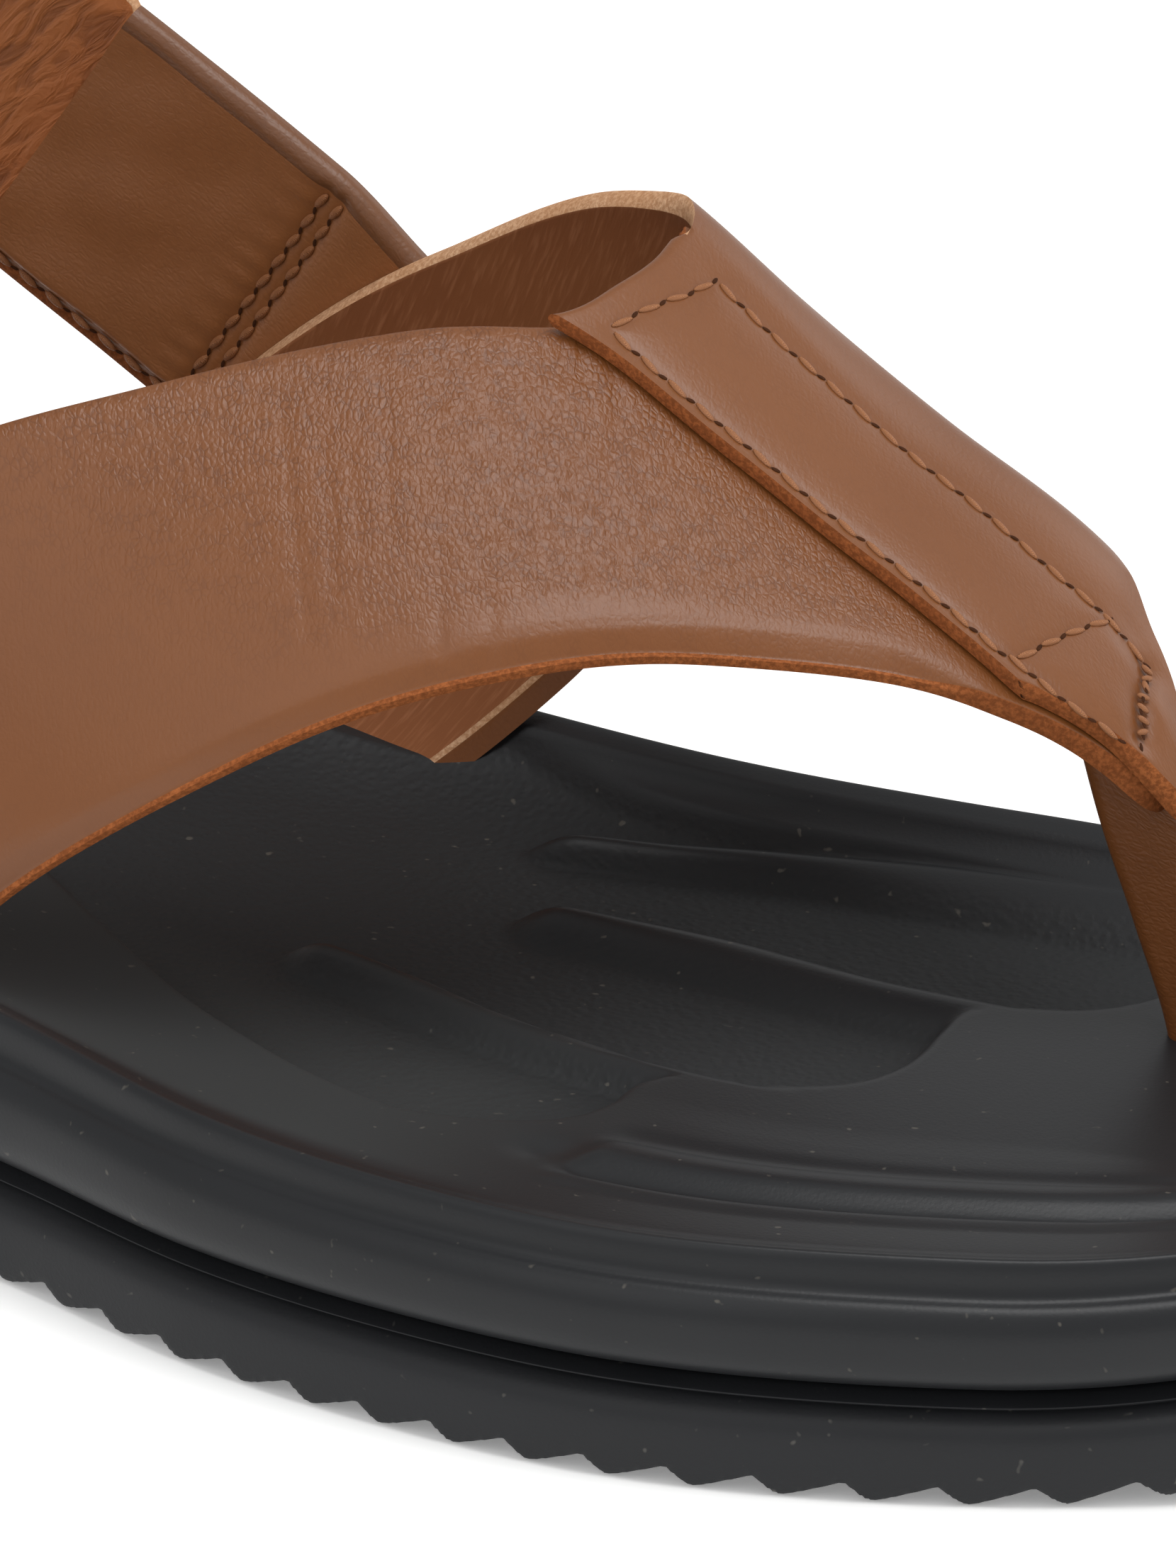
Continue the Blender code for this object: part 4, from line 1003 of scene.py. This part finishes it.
def row_of(name, size, places, turn):
    """Copies of one small rounded body, laid along the places of a sewn line and joined."""
    bpy.ops.object.select_all(action="DESELECT")
    bpy.ops.mesh.primitive_uv_sphere_add(segments=STITCH_SEGMENTS, ring_count=STITCH_RINGS, radius=0.5)
    first = bpy.context.object
    bpy.ops.transform.resize(value=[side * MILLIMETRE for side in size])
    bpy.ops.object.transform_apply(location=False, rotation=False, scale=True)
    bpy.ops.object.shade_smooth()
    shape = first.data.copy()
    for i, (point, ahead, out) in enumerate(zip(*places)):
        piece = first if i == 0 else bpy.data.objects.new(name, shape.copy())
        if i:
            bpy.context.scene.collection.objects.link(piece)
        out = out / np.linalg.norm(out)
        over = np.cross(out, ahead)
        over /= np.linalg.norm(over)
        ahead = np.cross(over, out)
        angle = np.radians(np.resize(turn, i + 1)[i])
        pose = np.eye(4)
        pose[:3, 0] = ahead * np.cos(angle) + over * np.sin(angle)
        pose[:3, 1] = over * np.cos(angle) - ahead * np.sin(angle)
        pose[:3, 2] = out
        pose[:3, 3] = (point - np.array(PLAN_MIDDLE)) * MILLIMETRE
        piece.data.transform(Matrix(pose.tolist()))
        piece.select_set(True)
    bpy.context.view_layer.objects.active = first
    bpy.ops.object.join()
    first.name = first.data.name = name
    return first


# Waxed polyester thread: a dull gleam over twisted plies.
thread, tree, shader = new_material("waxed_sewing_thread", {"Roughness": 0.55, "IOR": 1.5})
uv = add_node(tree, "ShaderNodeTexCoord").outputs["UV"]
# plies as slanting bands about 0.4 mm apart round a stitch of 2.3 mm, tinted darker between them and lighter over
# them as painted shade and highlight
ply_space = add_node(tree, "ShaderNodeMapping", {"Rotation": (0.0, 0.0, 0.7), "Scale": (9.0, 9.0, 1.0)},
                     {"Vector": uv})
plies = add_node(tree, "ShaderNodeTexWave", {"Scale": 0.6, "Distortion": 0.6}, {"Vector": ply_space.outputs[0]})
tint = add_node(tree, "ShaderNodeMix", {"data_type": "RGBA", 6: hex_colour("#7a4723"), 7: hex_colour("#ab7043")},
                {0: plies.outputs["Fac"]})
relief = add_node(tree, "ShaderNodeBump", {"Strength": 0.5, "Distance": 0.0001}, {"Height": plies.outputs["Fac"]})
tree.links.new(tint.outputs[2], shader.inputs["Base Color"])
tree.links.new(relief.outputs["Normal"], shader.inputs["Normal"])

# A needle hole is drawn as a short dark body on the leather: painted shade of the hole.
needle_hole, tree, shader = new_material("needle_hole_painted_shade", {"Roughness": 0.95, "IOR": 1.3})
place = add_node(tree, "ShaderNodeTexCoord").outputs["Object"]
# lint 0.4 mm across
lint = add_node(tree, "ShaderNodeTexNoise", {"Scale": 2500.0, "Detail": 2.0}, {"Vector": place})
tint = add_node(tree, "ShaderNodeMix", {"data_type": "RGBA", 6: hex_colour("#2c1507"), 7: hex_colour("#4a270f")},
                {0: lint.outputs["Fac"]})
tree.links.new(tint.outputs[2], shader.inputs["Base Color"])


def sew(line, places, size, turn):
    """A sewn line's stitches, and the needle slits half a stitch on, dark bodies of painted shade."""
    fit_piece(row_of("stitches_" + line, size, places, turn), material=thread)
    points, ahead, out = places
    half = ahead / np.linalg.norm(ahead, axis=1, keepdims=True) * STITCH_PITCH / 2
    slit = (SLIT_LONG, SLIT_WIDE, SLIT_HIGH)
    slits = row_of("needle_slits_" + line, slit, (points + half, ahead, out), SLIT_TURN)
    fit_piece(slits, material=needle_hole)


for line, path in SEWN_LINES.items():
    tack = line == "tip_tack"
    places = along_line(path, TACK_PITCH if tack else STITCH_PITCH, top_lift - THREAD_SUNK)
    size = (TACK_LONG if tack else THREAD_LONG, THREAD_WIDE, THREAD_HIGH)
    sew(line, places, size, TACK_TURNS if tack else THREAD_TURN)

# Strap sleeve: leather turned round the end of the back strap on the medial side, with a rounded upper edge,
# sewn through in a double row across and along its raw lower edge, puckered where the thread pulls.
HEEL_ROUND_FROM, HEEL_BACK, HEEL_SHARE = 46.0, 14.0, 0.42
STRAP_LATERAL_END, SLEEVE_FROM, SLEEVE_TO, SLEEVE_LAP = 122.0, 101.3, 140.0, 7.0
SLEEVE_ROWS, SLEEVE_COLUMNS, SLEEVE_GRAIN = 121, 161, 0.3
SLEEVE_ABOVE, SLEEVE_DROP, SLEEVE_DROP_FROM, SLEEVE_DROP_OVER = 1.0, 1.8, 121.0, 12.0
SLEEVE_BELOW, SLEEVE_SLANT = 5.0, 0.0086
SLEEVE_WALL, STRAP_LEATHER, STRAP_BELOW, FIT_GAP = 3.0, 2.0, 0.9, 0.3
FLANK_LIMIT = 0.98
SEWN_ROWS, ROW_LEAN, ROW_FROM, ROW_TO = (120.9, 122.3), 0.084, 13.0, -16.0
ROW_DENTS, PULL_OVER, PULL_FADE = ((0.22, 1.3), (0.2, 0.5)), 1.5, 2.0
PUCKER, PUCKER_AT, PUCKER_WIDE = 0.05, 1.6, 1.5
HEM_RISE, HEM_FROM, HEM_TO, HEM_DENT, HEM_DENT_WIDE = -16.8, 101.0, 132.0, 0.4, 0.8
HEM_THIN, HEM_THIN_FROM, HEM_THIN_OVER = 0.6, 1.2, 1.6
LOW_FOLD, LOW_FOLD_RISE, LOW_FOLD_WIDE, LOW_FOLD_TO, LOW_FOLD_FADE = 0.25, -9.0, 6.0, 116.0, 8.0
SOFT_FOLD, SOFT_FOLD_TO, SOFT_FOLD_FADE = 0.12, 119.0, 4.0
HEAVIER, ROW_SUNK, HEM_SUNK, STRAP_STEPS, TURN_STEP = 1.3, 0.3, 0.55, 200, 0.01
BACK_STRAP = table(("station", "middle", "width"), (
    (14.0, 86.0, 25.0),
    (46.0, 85.5, 26.0),
    (75.0, 81.0, 27.0),
    (95.0, 73.0, 27.0),
    (110.0, 64.0, 27.0),
    (125.0, 54.5, 27.0),
    (140.0, 45.0, 27.0),
    (155.0, 35.5, 27.0),
))


def flank(lateral, station, height):
    """Half breadth of the last at a height, on the lateral or the medial side."""
    station = np.maximum(station, HEEL_ROUND_FROM)
    full = np.where(lateral, LAST["lateral_full"](station), LAST["medial_full"](station))
    base, top_y = level("floor", station) - SLOT_DEPTH, LAST["top_y"](station)
    share = np.clip((height - base) / (LAST["top_z"](station) - base), 0, FLANK_LIMIT)
    side = np.where(lateral, LAST["lateral"](station), LAST["medial"](station))
    return top_y + (side - top_y) * (1 - share**full) ** (1 / full)


def strap_base(turn):
    """Station of the back strap's middle, from -1 at the lateral end over 0 at the heel to 1 at the medial."""
    end = np.where(turn < 0, STRAP_LATERAL_END, SLEEVE_TO)
    run = (np.abs(turn) - HEEL_SHARE) / (1 - HEEL_SHARE)
    swing = np.clip(np.abs(turn) / HEEL_SHARE, 0, 1) * np.pi / 2
    rounded = HEEL_ROUND_FROM - (HEEL_ROUND_FROM - HEEL_BACK) * np.cos(swing)
    return np.where(run < 0, rounded, HEEL_ROUND_FROM + run * (end - HEEL_ROUND_FROM)), swing


def under_strap(turn, rise):
    """Points of the last under the back strap."""
    station, swing = strap_base(turn)
    tilt = np.arctan((BACK_STRAP["middle"](station + 1) - BACK_STRAP["middle"](station - 1)) / 2)
    height = BACK_STRAP["middle"](station) + rise * np.cos(tilt)
    station = station - rise * np.sin(tilt)
    return np.stack((station, flank(turn < 0, station, height) * np.sin(swing), height), axis=-1)


def strap_turn(station):
    """Turn of the strap at a station of its medial side."""
    return HEEL_SHARE + (station - HEEL_ROUND_FROM) / (SLEEVE_TO - HEEL_ROUND_FROM) * (1 - HEEL_SHARE)


def strap_out(turns, rise):
    """Outward directions of the back strap's path."""
    on, back = np.minimum(turns + TURN_STEP, 1), np.maximum(turns - TURN_STEP, -1)
    ahead = under_strap(on, rise) - under_strap(back, rise)
    over = under_strap(turns, rise + 1) - under_strap(turns, rise - 1)
    out = np.cross(over, ahead)
    return out / np.linalg.norm(out, axis=-1, keepdims=True)


def strap_grid(turn_from, turn_to, columns, rows, rounding, above, below=0.0, slant=0.0):
    """Turns, rises and thickness shares over a stretch of the strap, from its upper edge down."""
    share, way, thick = leather_grid(rows, columns)
    turns = turn_from + (turn_to - turn_from) * way + 0.0 * thick
    half = BACK_STRAP["width"](strap_base(turns)[0]) / 2
    top, low = half + above(strap_base(turns)[0], turns) - rounding, -half - below + rounding
    rise = top + (low - top) * share + border(share) * rounding * np.sqrt(1 - thick**2)
    return turns + slant * rise / half * (1 - way), rise, thick


def strap_sheets(turns, rise, thick, wall, seat, press=0.0):
    """Outer and inner sheet of a stretch of the strap lifted off the last, the inner one pressed in."""
    out = strap_out(turns, rise)
    lifts = [seat + wall / 2 * (1 + side * thick) + (press * thick if side < 0 else 0.0) for side in (1, -1)]
    return [under_strap(turns, rise) + lift[..., None] * out for lift in lifts]


def sleeve_above(station, turns):
    """How far the sleeve's upper edge stands over the strap's."""
    return SLEEVE_ABOVE - SLEEVE_DROP * soft_step((station - SLEEVE_DROP_FROM) / SLEEVE_DROP_OVER)


sleeve_seat = 2 * LEATHER + FIT_GAP
turns, rise, sleeve_thick = strap_grid(strap_turn(SLEEVE_FROM), 1.0, SLEEVE_COLUMNS, SLEEVE_ROWS,
                                       SLEEVE_WALL / 2, sleeve_above, SLEEVE_BELOW, SLEEVE_SLANT)
base = strap_base(turns)[0]
pull = soft_step((ROW_FROM + PULL_OVER - rise) / PULL_FADE)
row_gaps = [base - row - ROW_LEAN * rise for row in SEWN_ROWS]
press = pull * sum(depth * np.exp(-(gap / wide) ** 2) for gap in row_gaps for depth, wide in ROW_DENTS)
# puckers one to a stitch, a little out of step
puckers = np.cos(2 * np.pi * rise / STITCH_PITCH + np.sin(rise / 2))
press = press + PUCKER * pull * np.exp(-((row_gaps[0] + PUCKER_AT) / PUCKER_WIDE) ** 2) * puckers
press = press + HEM_DENT * np.exp(-((rise - HEM_RISE) / HEM_DENT_WIDE) ** 2)
# behind the rows, folds 16 mm apart low on the sleeve and crossing ones 12 and 27 mm apart over all of it
low_folds = np.sin(base / 2.6 + rise / 5.0) * np.exp(-((rise - LOW_FOLD_RISE) / LOW_FOLD_WIDE) ** 2)
press = press + LOW_FOLD * low_folds * soft_step((LOW_FOLD_TO - base) / LOW_FOLD_FADE)
soft_folds = np.sin(base / 1.9 - rise / 3.1) * np.sin(rise / 4.3 + base / 9.0)
press = press + SOFT_FOLD * soft_folds * soft_step((SOFT_FOLD_TO - base) / SOFT_FOLD_FADE)
hem = 1 - HEM_THIN * soft_step((HEM_RISE + HEM_THIN_FROM - rise) / HEM_THIN_OVER)
sleeve_sheets = strap_sheets(turns, rise, sleeve_thick * hem, SLEEVE_WALL, sleeve_seat, press)
upper_roll = (edged(SLEEVE_ROWS)[1][:, None] < FULL_THICK) & (rise > 0)
# cut 3 gives the upper roll its darker finish of painted shade
sleeve_cut = 2 * ((sleeve_thick < FULL_THICK) & (rise < HEM_RISE)) + 3 * upper_roll
# The sleeve's inside is the same leather, painted a little lighter as fill light for the shade it lies in.
sleeve_inside_painted_fill = grain_leather("brown_leather_painted_fill", "#8d562d", "#9d643a", "#5f3414")
# Round its turned upper edge the leather is painted darker: painted shade that tones down the light the roll
# catches from above.
turned_edge_painted_shade = grain_leather("turned_leather_edge_painted_shade", "#633a1e", "#704626", "#45260f")
sleeve = leather_body("strap_sleeve_turned", *sleeve_sheets, sleeve_cut, SLEEVE_GRAIN,
                      (leather, sleeve_inside_painted_fill, cut_edge, turned_edge_painted_shade), millimetre_map(sleeve_sheets[0]))
fit_piece(sleeve, "strap_sleeve")


def along_strap(station_from, rise_from, station_to, rise_to, pitch, lift):
    """Places and directions at an even pitch along a sewn line on the sleeve's inner face."""
    share = np.linspace(0, 1, STRAP_STEPS)
    turns = strap_turn(station_from + (station_to - station_from) * share)
    rise = rise_from + (rise_to - rise_from) * share
    out = strap_out(turns, rise)
    return at_pitch(under_strap(turns, rise) + lift * out, -out, pitch)


SLEEVE_SEWN = {
    "sleeve_row_a": (SEWN_ROWS[0] + ROW_LEAN * ROW_FROM, ROW_FROM, SEWN_ROWS[0] + ROW_LEAN * ROW_TO, ROW_TO),
    "sleeve_row_b": (SEWN_ROWS[1] + ROW_LEAN * ROW_FROM, ROW_FROM, SEWN_ROWS[1] + ROW_LEAN * ROW_TO, ROW_TO),
    "sleeve_hem": (HEM_FROM, HEM_RISE, HEM_TO, HEM_RISE),
}
for line, path in SLEEVE_SEWN.items():
    places = along_strap(*path, STITCH_PITCH, sleeve_seat + (ROW_SUNK if "row" in line else HEM_SUNK))
    sew(line, places, (THREAD_LONG, HEAVIER * THREAD_WIDE, HEAVIER * THREAD_HIGH), THREAD_TURN)

# Back strap: a band of softer leather round the heel, sewn to the lateral strap at one end and held in the
# sleeve at the other. Its edges are cut raw and its inside is creased across from bending.
STRAP_ROWS, STRAP_COLUMNS, STRAP_ROUND, STRAP_GRAIN = 61, 361, 0.2, 0.2
STRAP_LOWER, LOWER_STATION, LOWER_RUN, LAP_DROP, LAP_OVER = 1.0, 60.0, 30.0, 3.0, 3.0
EDGE_THIN, EDGE_THIN_WIDE, EDGE_THIN_OVER = 0.5, 3.5, 2.5

# A lining leather: reddish brown, soft and dull, its fine wrinkles tinted a little darker as painted shade in
# them.
lining, tree, shader = new_material("soft_lining_leather", {"Roughness": 0.6, "IOR": 1.45})
uv = add_node(tree, "ShaderNodeTexCoord").outputs["UV"]
# wrinkles across the strap, a little aslant, 1.5 mm apart and 7 mm long, pores 0.5 mm
aslant = add_node(tree, "ShaderNodeMapping", {"Rotation": (0.0, 0.0, 0.3)}, {"Vector": uv})
turned = add_node(tree, "ShaderNodeMapping", {"Scale": (150.0, 650.0, 1.0)}, {"Vector": aslant.outputs[0]})
wrinkles = add_node(tree, "ShaderNodeTexNoise", {"Scale": 1.0, "Detail": 4.0, "Distortion": 1.0},
                    {"Vector": turned.outputs[0]})
pores = add_node(tree, "ShaderNodeTexNoise", {"Scale": 2000.0, "Detail": 2.0}, {"Vector": uv})
# the tint darkens in the wrinkles' hollows: painted shade
folds = add_node(tree, "ShaderNodeMapRange", {"From Min": 0.5, "From Max": 0.33, "To Max": 0.75},
                 {"Value": wrinkles.outputs["Fac"]})
tint = add_node(tree, "ShaderNodeMix", {"data_type": "RGBA", 6: hex_colour("#aa6533"), 7: hex_colour("#7d4620")},
                {0: folds.outputs["Result"]})
fine = add_node(tree, "ShaderNodeBump", {"Strength": 0.3, "Distance": 0.00006}, {"Height": pores.outputs["Fac"]})
relief = add_node(tree, "ShaderNodeBump", {"Strength": 0.8, "Distance": 0.0007},
                  {"Height": wrinkles.outputs["Fac"], "Normal": fine.outputs["Normal"]})
tree.links.new(tint.outputs[2], shader.inputs["Base Color"])
tree.links.new(relief.outputs["Normal"], shader.inputs["Normal"])


def strap_above(station, turns):
    """How far the strap's upper edge is cut below its full width on the medial side."""
    lap = soft_step((station - SLEEVE_FROM) / LAP_OVER)
    lower = STRAP_LOWER * soft_step((station - LOWER_STATION) / LOWER_RUN)
    return np.where(turns < 0, 0.0, -lower - LAP_DROP * lap)


lateral_seat = LEATHER + FIT_GAP
medial_seat = sleeve_seat + SLEEVE_WALL + FIT_GAP
turns, rise, back_thick = strap_grid(-1.0, strap_turn(SLEEVE_FROM + SLEEVE_LAP), STRAP_COLUMNS, STRAP_ROWS,
                                     STRAP_ROUND, strap_above, STRAP_BELOW)
back_seat = lateral_seat + (medial_seat - lateral_seat) * soft_step(turns / HEEL_SHARE / 2 + 0.5)
half = BACK_STRAP["width"](strap_base(turns)[0]) / 2
upper_edge = soft_step((rise - half + EDGE_THIN_WIDE) / EDGE_THIN_OVER) * (turns > 0)
back_sheets = strap_sheets(turns, rise, back_thick * (1 - EDGE_THIN * upper_edge), STRAP_LEATHER, back_seat)
back_strap = leather_body("back_strap_band", *back_sheets, 2 * (back_thick < FULL_THICK), STRAP_GRAIN,
                          (leather, lining, pale_edge), millimetre_map(back_sheets[0]))
fit_piece(back_strap, "back_strap")

# Floor, light and camera: a pale sweep under soft overhead light, seen as in the photograph.
bpy.ops.object.select_all(action="DESELECT")
bpy.ops.mesh.primitive_plane_add(size=8.0)
floor = bpy.context.object
floor.name = "floor"
# White paper: matt, and lifted a little by light from the room around it.
paper = new_material("white_paper_sweep", {"Base Color": hex_colour("#fbfbfa"), "Roughness": 0.9,
                                            "Emission Color": hex_colour("#ffffff"), "Emission Strength": 0.22})
floor.data.materials.append(paper[0])

bpy.context.scene.view_settings.view_transform = "Standard"
world = bpy.data.worlds.new("soft_room")
bpy.context.scene.world = world
world.use_nodes = True
world.node_tree.nodes["Background"].inputs["Color"].default_value = (1.0, 1.0, 1.0, 1.0)
world.node_tree.nodes["Background"].inputs["Strength"].default_value = 0.54

# each softbox's place and aim in metres, the length of its sides and its power in watts
LIGHTS = (
    ("overhead_softbox", (0.27, -0.10, 1.05), (0.03, 0.0, 0.03), 0.55, 6.4),
    ("back_softbox", (0.35, 0.95, 0.60), (0.03, 0.0, 0.03), 0.7, 2.0),
    ("toe_softbox", (1.00, 0.10, 0.35), (0.0, 0.0, 0.02), 0.6, 1.6),
    ("front_softbox", (-0.05, -1.00, 0.80), (0.03, 0.0, 0.03), 0.9, 2.6),
)
for name, place, aim, size, power in LIGHTS:
    light = bpy.data.lights.new(name, "AREA")
    light.shape, light.size, light.energy = "SQUARE", size, power
    lamp = bpy.data.objects.new(name, light)
    bpy.context.scene.collection.objects.link(lamp)
    direction = np.array(place) - np.array(aim)
    lamp.location = place
    turn_z = np.arctan2(direction[0], -direction[1])
    lamp.rotation_euler = (np.arctan2(np.hypot(direction[0], direction[1]), direction[2]), 0.0, turn_z)

lens = bpy.data.cameras.new("photo_camera")
lens.sensor_fit, lens.sensor_width, lens.lens = "HORIZONTAL", 36.0, 313.35
camera = bpy.data.objects.new("photo_camera", lens)
camera.location = (0.45518, -0.66825, 0.37119)
camera.rotation_euler = (np.radians(67.0), 0.0, np.radians(32.0))
bpy.context.scene.collection.objects.link(camera)
bpy.context.scene.camera = camera
